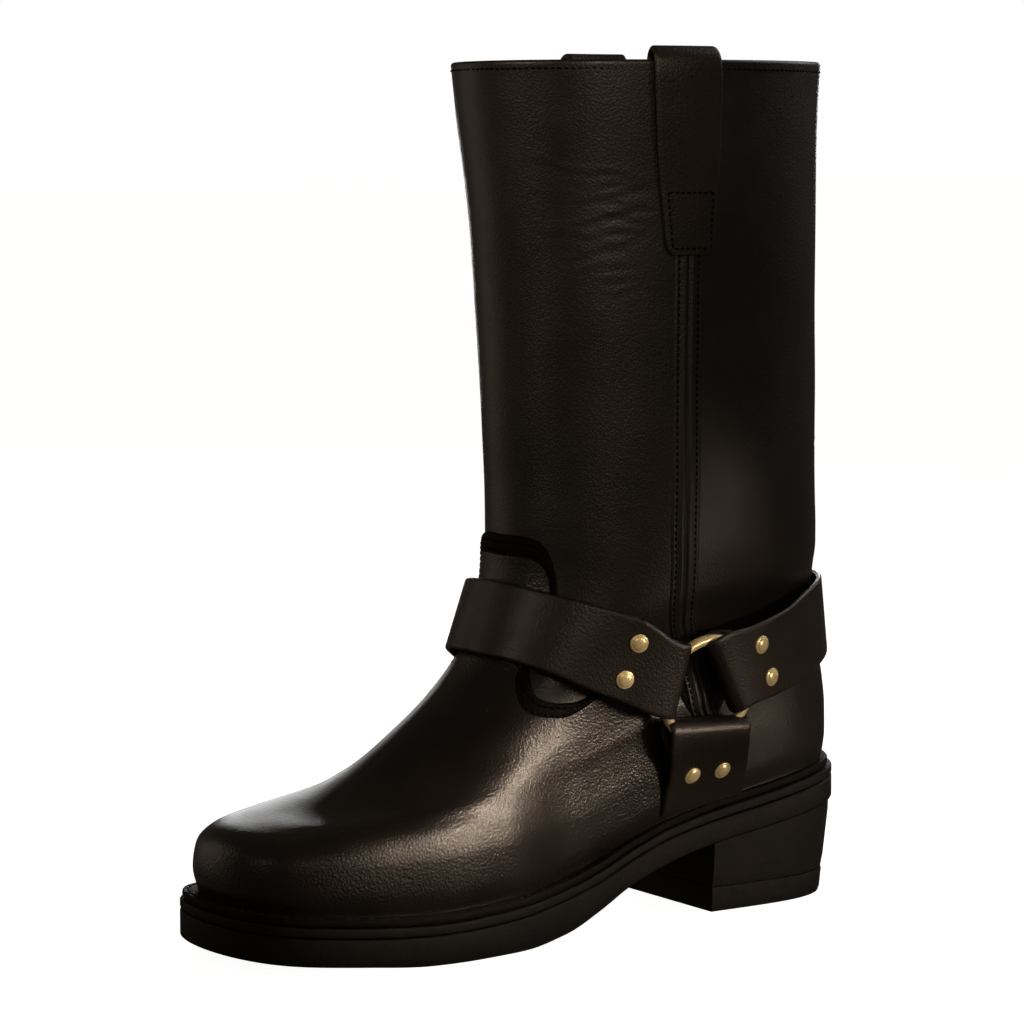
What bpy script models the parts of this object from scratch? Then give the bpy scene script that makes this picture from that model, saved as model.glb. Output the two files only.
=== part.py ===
"""A tall harness boot for the left foot, standing empty on its sole.

Frame: +X points to the toe, +Y to the outer (lateral) side and +Z up. The floor is z = 0, and the
origin is on the floor under the middle of the boot. Sizes are in millimetres. Stations along the
foot are counted from the back of the heel, and add_solid() moves them to the frame's origin.
"""
import bmesh
import bpy
import numpy as np

MM = 0.001
GAP = 0.35


def table(names, *rows):
    """A section table: one row for each section, its columns called by name."""
    return dict(zip(names.split(), np.array(rows, float).T))


# Sole
SOLE_LENGTH = 284.0
BREAST = 75.0
TOE_POWER = 13.0
HEEL_POWER = 9.0
MIDSOLE_THICK = 3.6
WELT_THICK = 3.0
WELT_INSET = 0.8
WELT_TUCK = 0.15
WELT_END = 78.0
RAND_STEP = 0.8
LIFT_THICK = 9.6
EDGE_BEVEL = 0.7
HEEL_INSET = 0.8
HEEL_SIDE_TAPER = 1.8
HEEL_BACK_TAPER = 4.4
LIFT_TOP_SHARE = 0.75
INSOLE_THICK = 4.0
INSOLE_CLEARANCE = 1.0
SOLE_POINTS = 24

# Plan of the sole's edge: half widths to each side of the axis from heel to toe
PLAN = table(
    "station lateral medial",
    (0, 33.0, 33.0),
    (35, 34.5, 34.0),
    (75, 34.0, 33.0),
    (110, 34.5, 31.0),
    (145, 40.0, 33.0),
    (180, 50.5, 42.0),
    (205, 53.0, 47.5),
    (230, 50.0, 48.5),
    (257, 44.5, 46.5),
    (284, 40.5, 43.5),
)

# Width of the welt and rand that shows outside the upper
MARGIN = table(
    "station width",
    (0, 2.6),
    (75, 3.6),
    (160, 7.5),
    (284, 7.5),
)

# Side view of the sole: its top under the welt, and its tread
SOLE_SIDE = table(
    "station top tread",
    (0, 52.0, 38.6),
    (21, 49.3, 36.0),
    (56, 43.7, 30.8),
    (77, 40.2, 27.3),
    (98, 35.4, 22.0),
    (116, 29.0, 15.4),
    (131, 23.4, 8.4),
    (151, 18.8, 1.8),
    (173, 16.6, 0.0),
    (217, 15.0, 0.0),
    (241, 16.0, 1.6),
    (266, 17.8, 3.4),
    (284, 19.4, 5.0),
)

# Upper: rings from the feather edge up to the collar, each from its back to its front.
# Follow: how far a ring follows the sole's line. Bulge: outward from the feather's plan.
# Lean: inward on the forepart. Ankle: outward at the ankle.
# Oval: 0 keeps the foot's plan, 1 is an oval of the half width.
UPPER = table(
    "front front_z back back_z follow bulge lean ankle oval half_width front_power back_power",
    (276.4, 22.9, 3.8, 55.6, 1.00, 0.0, 0.0, 0.0, 0.00, 36.0, 13.0, 8.0),
    (278.2, 31.0, 3.0, 65.0, 1.00, 1.5, 0.0, 1.0, 0.00, 36.0, 13.0, 8.0),
    (277.0, 40.0, 3.0, 76.0, 0.95, 1.8, 0.3, 2.2, 0.00, 36.0, 12.0, 7.5),
    (270.5, 46.0, 4.0, 88.0, 0.85, 1.0, 1.4, 4.0, 0.00, 36.0, 10.0, 7.0),
    (259.6, 48.9, 5.5, 98.0, 0.70, 0.3, 3.1, 5.5, 0.05, 37.0, 7.4, 6.0),
    (240.8, 52.0, 7.0, 106.0, 0.50, 0.0, 4.6, 6.5, 0.15, 37.0, 5.0, 5.0),
    (219.0, 60.2, 8.5, 114.0, 0.30, -0.4, 5.4, 6.5, 0.30, 37.5, 3.6, 4.2),
    (198.8, 72.9, 9.5, 121.0, 0.15, -1.6, 5.0, 5.8, 0.50, 39.8, 2.95, 3.6),
    (180.2, 86.7, 10.5, 128.0, 0.05, -3.0, 3.0, 4.0, 0.70, 42.8, 2.6, 3.2),
    (164.8, 102.5, 11.5, 136.0, 0.00, -3.0, 1.0, 2.0, 0.87, 45.8, 2.40, 2.9),
    (155.6, 120.2, 12.2, 145.0, 0.00, 0.0, 0.0, 0.0, 1.00, 48.6, 2.30, 2.6),
    (152.5, 140.0, 12.7, 156.0, 0.00, 0.0, 0.0, 0.0, 1.00, 50.5, 2.25, 2.4),
    (152.6, 165.0, 13.2, 172.0, 0.00, 0.0, 0.0, 0.0, 1.00, 51.3, 2.2, 2.3),
    (154.0, 195.0, 13.4, 197.0, 0.00, 0.0, 0.0, 0.0, 1.00, 51.5, 2.2, 2.2),
    (156.6, 235.0, 14.0, 235.0, 0.00, 0.0, 0.0, 0.0, 1.00, 53.0, 2.2, 2.2),
    (160.2, 275.0, 14.3, 275.0, 0.00, 0.0, 0.0, 0.0, 1.00, 55.2, 2.2, 2.2),
    (164.4, 310.0, 14.3, 310.0, 0.00, 0.0, 0.0, 0.0, 1.00, 57.0, 2.2, 2.2),
    (166.8, 330.0, 13.5, 331.0, 0.00, 0.0, 0.0, 0.0, 1.00, 58.0, 2.2, 2.2),
)
ANKLE = 88.0
ANKLE_SPREAD = 58.0
FOREPART = (140.0, 210.0)
TOP_ROW = len(UPPER["front"]) - 1
ROWS = np.union1d(np.arange(TOP_ROW + 1), (2.5, 3.5))
COLUMN_STEP = 9.0
WALL = 2.2

# Vamp: its upper edge, from the tongue at the front to the heel's quarter
VAMP_EDGE = table(
    "angle height",
    (0.0, 150.5),
    (18.0, 150.0),
    (22.5, 147.5),
    (27.0, 138.0),
    (28.5, 104.0),
    (36.0, 96.5),
    (45.0, 91.5),
    (54.0, 89.5),
    (63.0, 89.3),
    (72.0, 97.5),
    (81.0, 102.2),
    (90.0, 103.5),
    (99.0, 96.0),
    (108.0, 86.0),
    (117.0, 75.0),
)
VAMP_LIFT = 0.7
VAMP_THICK = 1.4
VAMP_SHARED_ROW = 6.0
VAMP_FREE_ROWS = 6

# Side seam: its angle down each side, and its section across
SEAM = table(
    "height lateral medial",
    (107, 90.0, 101.0),
    (114, 84.0, 101.5),
    (127, 76.4, 102.0),
    (150, 73.9, 102.5),
    (204, 75.0, 103.5),
    (256, 76.2, 104.0),
)
SEAM_LIFT = 0.8
SEAM_SECTION = table(
    "across ridge",
    (-5.2, 0.5),
    (-2.8, 1.1),
    (0.0, 0.5),
    (2.8, 1.1),
    (5.2, 0.5),
)
SEAM_ROWS = 14

# Pull straps: from the sewn end outside, over the collar, to the end inside
PULL_STRAP = table(
    "height lift width",
    (258.0, 1.6, 13.0),
    (260.5, 1.6, 16.0),
    (270.0, 1.6, 18.6),
    (281.0, 1.7, 21.2),
    (296.0, 2.6, 24.8),
    (312.0, 3.5, 26.4),
    (324.0, 3.9, 27.0),
    (330.0, 3.4, 27.0),
    (333.2, 1.6, 27.0),
    (334.4, -1.1, 27.0),
    (333.2, -3.8, 27.0),
    (330.0, -5.4, 27.0),
    (322.0, -5.6, 27.0),
    (306.0, -4.8, 26.0),
    (290.0, -4.1, 25.0),
)
PULL_ANGLE = {"lateral": 76.0, "medial": 104.0}
PULL_THICK = 2.2
PULL_COLUMNS = 5

# Harness: rings, straps and rivets. Stations run from a strap's middle to its rivets, with the
# angle and height of its lower and upper edges. Turns: the arc of the ring that a strap wraps.
RING_ANGLE = 104.0
RING_HEIGHT = 92.6
RING_RADIUS = 20.0
RING_LIFT = 10.0
RING_LEAN = 9.0
WIRE_RADIUS = 2.0
RING_STEPS = 28
RING_SIDES = 7
FRONT_STRAP = table(
    "low_angle low high_angle high lift",
    (0.0, 104.0, 0.0, 133.0, 4.4),
    (18.0, 102.9, 18.0, 131.4, 5.6),
    (37.0, 99.8, 36.0, 128.2, 6.0),
    (55.0, 95.8, 50.0, 124.8, 6.8),
    (72.0, 91.2, 62.0, 121.6, 8.8),
)
FRONT_TURNS = (-28.0, 64.0)
FRONT_STEPS = 12
BACK_STRAP = table(
    "low_angle low high_angle high lift",
    (180.0, 98.5, 180.0, 128.4, 2.4),
    (163.0, 96.8, 157.0, 128.8, 2.8),
    (148.0, 93.2, 133.0, 127.2, 4.8),
    (136.0, 89.0, 116.0, 122.8, 8.6),
    (127.0, 86.2, 103.0, 119.6, 10.6),
)
BACK_TURNS = (204.0, 100.0)
BACK_STEPS = 9
BOTTOM_STRAP = table(
    "low_angle low high_angle high lift",
    (106.2, 43.6, 124.8, 47.6, 4.1),
    (106.5, 50.0, 124.2, 53.0, 6.0),
    (106.8, 55.5, 123.8, 58.0, 7.6),
)
BOTTOM_TURNS = (-51.0, -147.0)
BOTTOM_STEPS = 4
STRAP_THICK = 2.2
STRAP_COLUMNS = 5
FOLD_GAP = 0.5
FOLD_STEPS = 7
BEND_STEPS = 2
TAIL_ROWS = 2
RIVET = table(
    "radius high",
    (3.7, 0.0),
    (3.7, 0.6),
    (2.0, 1.4),
)
RIVET_SHARES = (0.27, 0.73)
RIVET_SIDES = 10
RIVET_GAP = 0.95
SIDES = ((1, "lateral"), (-1, "medial"))

# Steps of the measurements on the upper, and limits for the meshes
TURN = 0.004
CLIMB = 0.02
ROW_SAMPLES = 341
MERGE = 1e-6
SMOOTH_ANGLE = 35.0


def smooth(knots, values, at):
    """Monotone cubic curve through a table's column."""
    knots = np.asarray(knots, float)
    values = np.asarray(values, float)
    step = np.diff(knots)
    slope = np.diff(values) / step
    before = slope[:-1]
    after = slope[1:]
    same_way = before * after > 0
    weight_before = 2 * step[1:] + step[:-1]
    weight_after = step[1:] + 2 * step[:-1]
    safe_before = np.where(same_way, before, 1.0)
    safe_after = np.where(same_way, after, 1.0)
    mean = (weight_before + weight_after) / (weight_before / safe_before + weight_after / safe_after)
    tangent = np.concatenate([slope[:1], np.where(same_way, mean, 0.0), slope[-1:]])
    at = np.clip(np.asarray(at, float), knots[0], knots[-1])
    i = np.clip(np.searchsorted(knots, at, side="right") - 1, 0, len(step) - 1)
    t = (at - knots[i]) / step[i]
    rise = (values[i + 1] - values[i]) * t * t * (3 - 2 * t)
    lean = step[i] * t * (1 - t) * (tangent[i] * (1 - t) - tangent[i + 1] * t)
    return values[i] + rise + lean


def sole_top(x):
    """Height of the midsole's top."""
    return smooth(SOLE_SIDE["station"], SOLE_SIDE["top"], x)


def sole_tread(x):
    """Height of the outsole's underside."""
    return smooth(SOLE_SIDE["station"], SOLE_SIDE["tread"], x)


def feather_height(x):
    """Height of the upper's lower edge."""
    return sole_top(x) + WELT_THICK + 2 * GAP


def plan_half_width(x, side):
    """Half width of the sole, on the lateral side (+1) or the medial side (-1)."""
    lateral = smooth(PLAN["station"], PLAN["lateral"], x)
    medial = smooth(PLAN["station"], PLAN["medial"], x)
    return np.where(side >= 0, lateral, medial)


def margin(x):
    """Width of the welt that shows outside the upper."""
    return smooth(MARGIN["station"], MARGIN["width"], x)


def closing(c, front_power, back_power):
    """Share of the width that is left towards the ends of a ring."""
    power = np.where(c >= 0, front_power, back_power)
    return np.sqrt(np.maximum(0.0, 1 - np.abs(c) ** power))


def sole_chains(inset, back_inset, front_station=None):
    """Lateral and medial edges of the sole's plan, from the front to the back of the heel."""
    front = SOLE_LENGTH - inset
    back = back_inset
    first = 0.0
    if front_station is not None:
        first = np.arccos(2 * (front_station - back) / (front - back) - 1)
    c = np.cos(np.linspace(first, np.pi, SOLE_POINTS + 1))
    x = back + (front - back) * (1 + c) / 2
    close = closing(c, TOE_POWER, HEEL_POWER)
    lateral = (plan_half_width(x, 1) - inset) * close
    medial = (plan_half_width(x, -1) - inset) * close
    return x, lateral, -medial


def upper_point(angle, row):
    """Point of the upper's outer face. Angle 0 is the front, pi the back, + the lateral side."""
    angle, row = np.broadcast_arrays(np.asarray(angle, float), np.asarray(row, float))
    rows = np.arange(TOP_ROW + 1)
    at = {name: smooth(rows, values, row) for name, values in UPPER.items()}
    c = np.cos(angle)
    side = np.where(np.sin(angle) >= 0, 1.0, -1.0)
    along = (1 + c) / 2
    x = at["back"] + (at["front"] - at["back"]) * along
    share = np.clip((x - FOREPART[0]) / (FOREPART[1] - FOREPART[0]), 0, 1)
    foot = plan_half_width(x, side) - margin(x) + at["bulge"] - at["lean"] * share * share * (3 - 2 * share)
    foot = foot + at["ankle"] * np.exp(-((x - ANKLE) / ANKLE_SPREAD) ** 2)
    width = (1 - at["oval"]) * foot + at["oval"] * at["half_width"]
    y = side * width * closing(c, at["front_power"], at["back_power"])
    chord = at["back_z"] + (at["front_z"] - at["back_z"]) * along
    feather_front = feather_height(UPPER["front"][0])
    feather_back = feather_height(UPPER["back"][0])
    feather_chord = feather_back + (feather_front - feather_back) * along
    z = chord + at["follow"] * (feather_height(x) - feather_chord)
    return np.stack([x, y, z], -1)


def upper_normal(angle, row):
    """Outward direction of the upper's outer face."""
    along = upper_point(angle + TURN, row) - upper_point(angle - TURN, row)
    above = upper_point(angle, np.minimum(row + CLIMB, TOP_ROW))
    below = upper_point(angle, np.maximum(row - CLIMB, 0))
    return unit(np.cross(along, above - below))


def over_upper(angle, row, height):
    """Point at a height over the upper's outer face, which is straight from row to row."""
    angle, row = np.broadcast_arrays(np.asarray(angle, float), np.asarray(row, float))
    k = np.clip(np.searchsorted(ROWS, row, side="right") - 1, 0, len(ROWS) - 2)
    low = upper_point(angle, ROWS[k])
    high = upper_point(angle, ROWS[k + 1])
    share = (row - ROWS[k]) / (ROWS[k + 1] - ROWS[k])
    on_face = low + (high - low) * share[..., None]
    return on_face + upper_normal(angle, row) * np.asarray(height, float)[..., None]


def row_at(angle, height):
    """Row of the upper's table at which the outer face reaches a height."""
    angle, height = np.broadcast_arrays(np.asarray(angle, float), np.asarray(height, float))
    rows = np.linspace(0, TOP_ROW, ROW_SAMPLES)
    found = [np.interp(z, upper_point(a, rows)[:, 2], rows) for a, z in zip(angle.ravel(), height.ravel())]
    return np.reshape(found, angle.shape)


def at_height(angle, height, lift):
    """Point lifted off the upper, at an angle and a height above the floor."""
    return over_upper(angle, row_at(angle, height), lift + np.zeros(np.shape(angle)))


def turn_per_mm(angle, height):
    """Angle that takes a point one millimetre round the upper."""
    ahead = at_height(angle + TURN, height, 0.0)
    behind = at_height(angle - TURN, height, 0.0)
    return 2 * TURN / np.linalg.norm(ahead - behind, axis=-1)


def unit(vectors):
    return vectors / np.linalg.norm(vectors, axis=-1, keepdims=True)


def add_solid(name, points, faces, material):
    """One closed piece from points in millimetres and stations."""
    mesh = bpy.data.meshes.new(name)
    moved = (np.asarray(points) - (SOLE_LENGTH / 2, 0, 0)) * MM
    mesh.from_pydata(moved.tolist(), [], faces)
    work = bmesh.new()
    work.from_mesh(mesh)
    bmesh.ops.remove_doubles(work, verts=work.verts, dist=MERGE)
    bmesh.ops.recalc_face_normals(work, faces=work.faces)
    work.to_mesh(mesh)
    work.free()
    mesh.shade_smooth()
    mesh.set_sharp_from_angle(angle=np.radians(SMOOTH_ANGLE))
    mesh.materials.append(material)
    piece = bpy.data.objects.new(name, mesh)
    bpy.context.scene.collection.objects.link(piece)


def quad(a, b, c, d):
    """Two triangles, always cut from the first corner to the third."""
    return [(a, b, c), (a, c, d)]


def slab(name, rings, material):
    """A plate from rings of paired lateral and medial edges, lowest ring first."""
    loops = [np.concatenate([lateral, medial[::-1]]) for lateral, medial in rings]
    count = len(loops[0])
    faces = []
    for k in range(len(loops) - 1):
        for i in range(count):
            j = (i + 1) % count
            faces += quad(k * count + i, k * count + j, (k + 1) * count + j, (k + 1) * count + i)
    top = (len(loops) - 1) * count
    for i in range(count // 2 - 1):
        strip = (i, i + 1, count - 2 - i, count - 1 - i)
        faces.append(tuple(top + k for k in strip))
        faces.append(strip[::-1])
    add_solid(name, np.concatenate(loops), faces, material)


def sheet(name, outer, inner, material):
    """A piece between two grids of points that have the same rows and columns."""
    rows, columns = outer.shape[:2]
    under = rows * columns
    faces = []
    for r in range(rows - 1):
        for c in range(columns - 1):
            corner = r * columns + c
            cell = (corner, corner + 1, corner + columns + 1, corner + columns)
            faces += quad(*cell)
            faces += [face[::-1] for face in quad(*(under + k for k in cell))]
    first_row = list(range(columns))
    last_column = [r * columns + columns - 1 for r in range(1, rows)]
    last_row = [(rows - 1) * columns + c for c in range(columns - 2, -1, -1)]
    first_column = [r * columns for r in range(rows - 2, 0, -1)]
    border = first_row + last_column + last_row + first_column
    for a, b in zip(border, border[1:] + border[:1]):
        faces += quad(b, a, under + a, under + b)
    points = np.concatenate([outer.reshape(-1, 3), inner.reshape(-1, 3)])
    add_solid(name, points, faces, material)


def tube(name, loops, material):
    """A closed ring-shaped piece from closed loops of points."""
    count, around = loops.shape[:2]
    faces = []
    for k in range(count):
        for i in range(around):
            j = (i + 1) % around
            after = (k + 1) % count
            faces += quad(k * around + i, k * around + j, after * around + j, after * around + i)
    add_solid(name, loops.reshape(-1, 3), faces, material)


def sole_ring(inset, back_inset, height, front_station=None):
    """A ring of slab(): the sole's plan drawn in, at a height given by a function of the station."""
    x, lateral, medial = sole_chains(inset, back_inset, front_station)
    z = height(x)
    return np.stack([x, lateral, z], -1), np.stack([x, medial, z], -1)


def make_sole(rubber):
    """Outsole and midsole, with small bevels along their edges."""
    def parting(x):
        return sole_top(x) - MIDSOLE_THICK

    def bevelled(name, low, high):
        rings = [
            sole_ring(EDGE_BEVEL, EDGE_BEVEL, low),
            sole_ring(0.0, 0.0, lambda x: low(x) + EDGE_BEVEL),
            sole_ring(0.0, 0.0, lambda x: high(x) - EDGE_BEVEL),
            sole_ring(EDGE_BEVEL, EDGE_BEVEL, high),
        ]
        slab(name, rings, rubber)

    bevelled("outsole", sole_tread, lambda x: parting(x) - GAP)
    bevelled("midsole", parting, sole_top)


def make_heel(rubber):
    """Heel block and top lift, narrowing towards the floor behind a straight breast."""
    def ring(share, height):
        side = HEEL_INSET + HEEL_SIDE_TAPER * share
        back = HEEL_INSET + HEEL_BACK_TAPER * share
        return sole_ring(side, back, height, BREAST)

    def level(z):
        return lambda x: np.full_like(x, z)

    block_foot = ring(LIFT_TOP_SHARE, level(LIFT_THICK + GAP))
    block_head = ring(0.0, lambda x: sole_tread(x) - GAP)
    slab("heel_block", [block_foot, block_head], rubber)
    lift_foot = ring(1.0, level(0.0))
    lift_head = ring(LIFT_TOP_SHARE, level(LIFT_THICK))
    slab("heel_top_lift", [lift_foot, lift_head], rubber)


def make_welt(leather):
    """Welt round the forefoot and rand round the heel seat, in one line under the upper."""
    def strip(name, angles, inset):
        front = SOLE_LENGTH - inset
        c = np.cos(angles)
        side = np.where(np.sin(angles) >= 0, 1.0, -1.0)
        x = inset + (front - inset) * (1 + c) / 2
        width = plan_half_width(x, side) - inset
        edge = np.stack([x, side * width * closing(c, TOE_POWER, HEEL_POWER)], -1)
        under_upper = over_upper(angles, 0.0 * angles, np.full_like(angles, -WALL - WELT_TUCK))[:, :2]
        plan = np.stack([edge, under_upper], 1)
        base = sole_top(plan[..., 0]) + GAP
        top = np.concatenate([plan, (base + WELT_THICK)[..., None]], -1)
        bottom = np.concatenate([plan, base[..., None]], -1)
        sheet(name, top, bottom, leather)

    def edge_angle(station):
        return np.arccos(2 * station / SOLE_LENGTH - 1)

    welt_end = edge_angle(WELT_END)
    rand_end = edge_angle(WELT_END - 2 * GAP)
    around = np.pi / SOLE_POINTS * np.arange(-SOLE_POINTS, 2 * SOLE_POINTS)
    forefoot = around[np.abs(around) < welt_end]
    heel = around[np.abs(around - np.pi) < np.pi - rand_end]
    strip("welt", np.array([-welt_end, *forefoot, welt_end]), WELT_INSET)
    strip("heel_rand", np.array([rand_end, *heel, 2 * np.pi - rand_end]), WELT_INSET + RAND_STEP)


def make_insole(leather):
    """Board between the walls of the upper, on the midsole."""
    angles = np.linspace(0, np.pi, SOLE_POINTS + 1)
    clear = np.full_like(angles, -WALL - INSOLE_CLEARANCE)
    lateral = over_upper(angles, 0.0 * angles, clear)
    medial = over_upper(-angles, 0.0 * angles, clear)
    rings = []
    for height in (GAP, GAP + INSOLE_THICK):
        ring = []
        for edge in (lateral, medial):
            ring.append(np.stack([edge[:, 0], edge[:, 1], sole_top(edge[:, 0]) + height], -1))
        ring[0][[0, -1], 1] = 0.0
        ring[1][[0, -1]] = ring[0][[0, -1]]
        rings.append(ring)
    slab("insole", rings, leather)


def make_upper(leather):
    """Foot and shaft as one hollow wall, open at the collar and underneath."""
    angles = np.radians(COLUMN_STEP) * np.arange(360 / COLUMN_STEP)
    angle, row = np.meshgrid(angles, ROWS)
    outer = upper_point(angle, row)
    inner = over_upper(angle, row, np.full(angle.shape, -WALL))
    for edge in (0, -1):
        inner[edge, :, 2] = outer[edge, :, 2]
    tube("upper", np.concatenate([outer, inner[::-1]]), leather)


def make_vamp(leather):
    """Vamp with its tongue: a skin over the upper, up to the edge in the table."""
    columns = np.union1d(VAMP_EDGE["angle"], COLUMN_STEP)
    angles = np.radians(np.concatenate([-columns[:0:-1], columns]))
    edge = np.interp(np.abs(np.degrees(angles)), VAMP_EDGE["angle"], VAMP_EDGE["height"])
    edge_row = row_at(angles, edge)
    shared = [row for row in ROWS if row <= VAMP_SHARED_ROW]
    rows = [np.full_like(angles, row) for row in shared]
    for share in np.arange(1, VAMP_FREE_ROWS + 1) / VAMP_FREE_ROWS:
        rows.append(VAMP_SHARED_ROW + (edge_row - VAMP_SHARED_ROW) * share)
    row = np.array(rows)
    angle = np.broadcast_to(angles, row.shape)
    inner = over_upper(angle, row, np.full(row.shape, VAMP_LIFT))
    outer = over_upper(angle, row, np.full(row.shape, VAMP_LIFT + VAMP_THICK))
    outer[0, :, 2] = inner[0, :, 2] = upper_point(angles, 0.0 * angles)[:, 2]
    sheet("vamp", outer, inner, leather)


def make_side_seam(word, side, leather):
    """Raised seam down the shaft to the vamp: two ridges with a groove between."""
    heights = np.linspace(SEAM["height"][0], SEAM["height"][-1], SEAM_ROWS)
    centre = side * np.radians(smooth(SEAM["height"], SEAM[word], heights))
    outer = []
    inner = []
    for across, ridge in zip(SEAM_SECTION["across"], SEAM_SECTION["ridge"]):
        angle = centre + across * turn_per_mm(centre, heights)
        inner.append(at_height(angle, heights, SEAM_LIFT))
        outer.append(at_height(angle, heights, SEAM_LIFT + ridge))
    sheet(f"side_seam_{word}", np.stack(outer, 1), np.stack(inner, 1), leather)


def make_pull_strap(word, side, leather):
    """Loop over the collar: sewn flat on the shaft outside, it bows out, turns over and runs inside."""
    path = PULL_STRAP
    on_shaft = np.minimum(path["height"], UPPER["front_z"][-1])
    rise = path["height"] - on_shaft
    centre = np.full_like(on_shaft, side * np.radians(PULL_ANGLE[word]))
    grid = []
    for share in np.linspace(-0.5, 0.5, PULL_COLUMNS):
        angle = centre + share * path["width"] * turn_per_mm(centre, on_shaft)
        level = unit(upper_normal(angle, row_at(angle, on_shaft)) * (1, 1, 0))
        points = at_height(angle, on_shaft, 0) + level * path["lift"][:, None]
        points[:, 2] += rise
        grid.append(points)
    thick_sheet(f"pull_strap_{word}", np.stack(grid, 1), PULL_THICK, leather)


def grid_normals(grid):
    """Directions across a grid of points."""
    along = np.gradient(grid, axis=0)
    across = np.gradient(grid, axis=1)
    return unit(np.cross(along, across))


def thick_sheet(name, middle, thick, material):
    """A band of even thickness on both sides of a grid of points."""
    half = grid_normals(middle) * thick / 2
    sheet(name, middle + half, middle - half, material)


def ring_frame(side):
    """Centre, forward, upward and outward directions of a harness ring, which leans with the ankle."""
    angle = side * np.radians(RING_ANGLE)
    row = row_at(angle, RING_HEIGHT)
    level = unit(upper_normal(angle, row) * (1, 1, 0))
    lean = np.radians(RING_LEAN)
    outward = level * np.cos(lean) - np.array((0, 0, np.sin(lean)))
    upward = level * np.sin(lean) + np.array((0, 0, np.cos(lean)))
    forward = side * np.cross(outward, upward)
    return upper_point(angle, row) + outward * RING_LIFT, forward, upward, outward


def make_ring(name, side, brass):
    centre, forward, upward, outward = ring_frame(side)
    loops = []
    for turn in np.linspace(0, 2 * np.pi, RING_STEPS, endpoint=False):
        spoke = forward * np.cos(turn) + upward * np.sin(turn)
        around = np.linspace(0, 2 * np.pi, RING_SIDES, endpoint=False)[:, None]
        wire = spoke * np.cos(around) + outward * np.sin(around)
        loops.append(centre + spoke * RING_RADIUS + wire * WIRE_RADIUS)
    tube(name, np.array(loops), brass)


def bend(start, start_way, end, end_way, steps):
    """Points between two rows of points on curves that leave and arrive in the given directions."""
    size = np.linalg.norm(end - start, axis=-1, keepdims=True)
    rows = []
    for t in np.arange(1, steps + 1) / (steps + 1):
        rows.append(
            start * (1 + 2 * t) * (1 - t) ** 2
            + end * t * t * (3 - 2 * t)
            + start_way * size * t * (1 - t) ** 2
            - end_way * size * t * t * (1 - t)
        )
    return rows


def strap_run(stations, side, steps):
    """Rows of points across a strap as it lies on the upper, from its first station to its last."""
    knots = np.arange(len(stations["low_angle"]))
    at = np.linspace(0, knots[-1], steps)
    low_angle = side * np.radians(smooth(knots, stations["low_angle"], at))
    high_angle = side * np.radians(smooth(knots, stations["high_angle"], at))
    lift = smooth(knots, stations["lift"], at)
    low = at_height(low_angle, smooth(knots, stations["low"], at), lift)
    high = at_height(high_angle, smooth(knots, stations["high"], at), lift)
    share = np.linspace(0, 1, STRAP_COLUMNS)[:, None]
    return [a + (b - a) * share for a, b in zip(low, high)]


def strap_end(run, tail, side, first_turn, last_turn):
    """The strap's end beyond its run: round the ring's wire and back under itself."""
    centre, forward, upward, outward = ring_frame(side)
    turn = np.radians(np.linspace(first_turn, last_turn, STRAP_COLUMNS))[:, None]
    spoke = forward * np.cos(turn) + upward * np.sin(turn)
    wire = centre + spoke * RING_RADIUS
    radius = WIRE_RADIUS + FOLD_GAP + STRAP_THICK / 2
    fold = []
    for angle in np.linspace(0, np.pi, FOLD_STEPS):
        fold.append(wire + radius * (outward * np.cos(angle) - spoke * np.sin(angle)))
    way = unit(unit(run[-1] - run[-2]) + unit(fold[0] - run[-1]))
    arrive = bend(run[-1], way, fold[0], -spoke, BEND_STEPS)
    leave = bend(fold[-1], spoke, tail[0], unit(tail[1] - tail[0]), BEND_STEPS)
    return arrive + fold + leave + tail


def half_strap(stations, side, first_turn, last_turn, steps):
    """Rows of points from a strap's middle, or its lower end, to its tail under the ring."""
    run = strap_run(stations, side, steps)
    under = stations | {"lift": stations["lift"] - STRAP_THICK - GAP}
    tail = strap_run(under, side, steps)[: -TAIL_ROWS - 1 : -1]
    return run + strap_end(run, tail, side, first_turn, last_turn)


def make_rivets(name, rows, place, side, brass):
    """A pair of rivets on one row of a strap."""
    grid = np.array(rows)
    normals = grid_normals(grid)[place]
    outward = ring_frame(side)[3]
    for number, share in enumerate(RIVET_SHARES, 1):
        column = share * (STRAP_COLUMNS - 1)
        base = np.array([np.interp(column, range(STRAP_COLUMNS), grid[place][:, k]) for k in range(3)])
        axis = unit(np.array([np.interp(column, range(STRAP_COLUMNS), normals[:, k]) for k in range(3)]))
        axis = axis * np.sign(axis @ outward)
        first = unit(np.cross(axis, (0, 0, 1)))
        second = np.cross(axis, first)
        seat = base + axis * (STRAP_THICK / 2 + RIVET_GAP)
        around = np.linspace(0, 2 * np.pi, RIVET_SIDES, endpoint=False)[:, None]
        circle = first * np.cos(around) + second * np.sin(around)
        section = zip(RIVET["radius"], RIVET["high"])
        rings = [seat + axis * high + circle * radius for radius, high in section]
        faces = []
        for k in range(len(rings) - 1):
            for i in range(RIVET_SIDES):
                j = (i + 1) % RIVET_SIDES
                low = k * RIVET_SIDES
                faces += quad(low + i, low + j, low + RIVET_SIDES + j, low + RIVET_SIDES + i)
        faces.append(tuple(range(RIVET_SIDES - 1, -1, -1)))
        faces.append(tuple(range(low + RIVET_SIDES, low + 2 * RIVET_SIDES)))
        add_solid(f"{name}_{number}", np.concatenate(rings), faces, brass)


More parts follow.
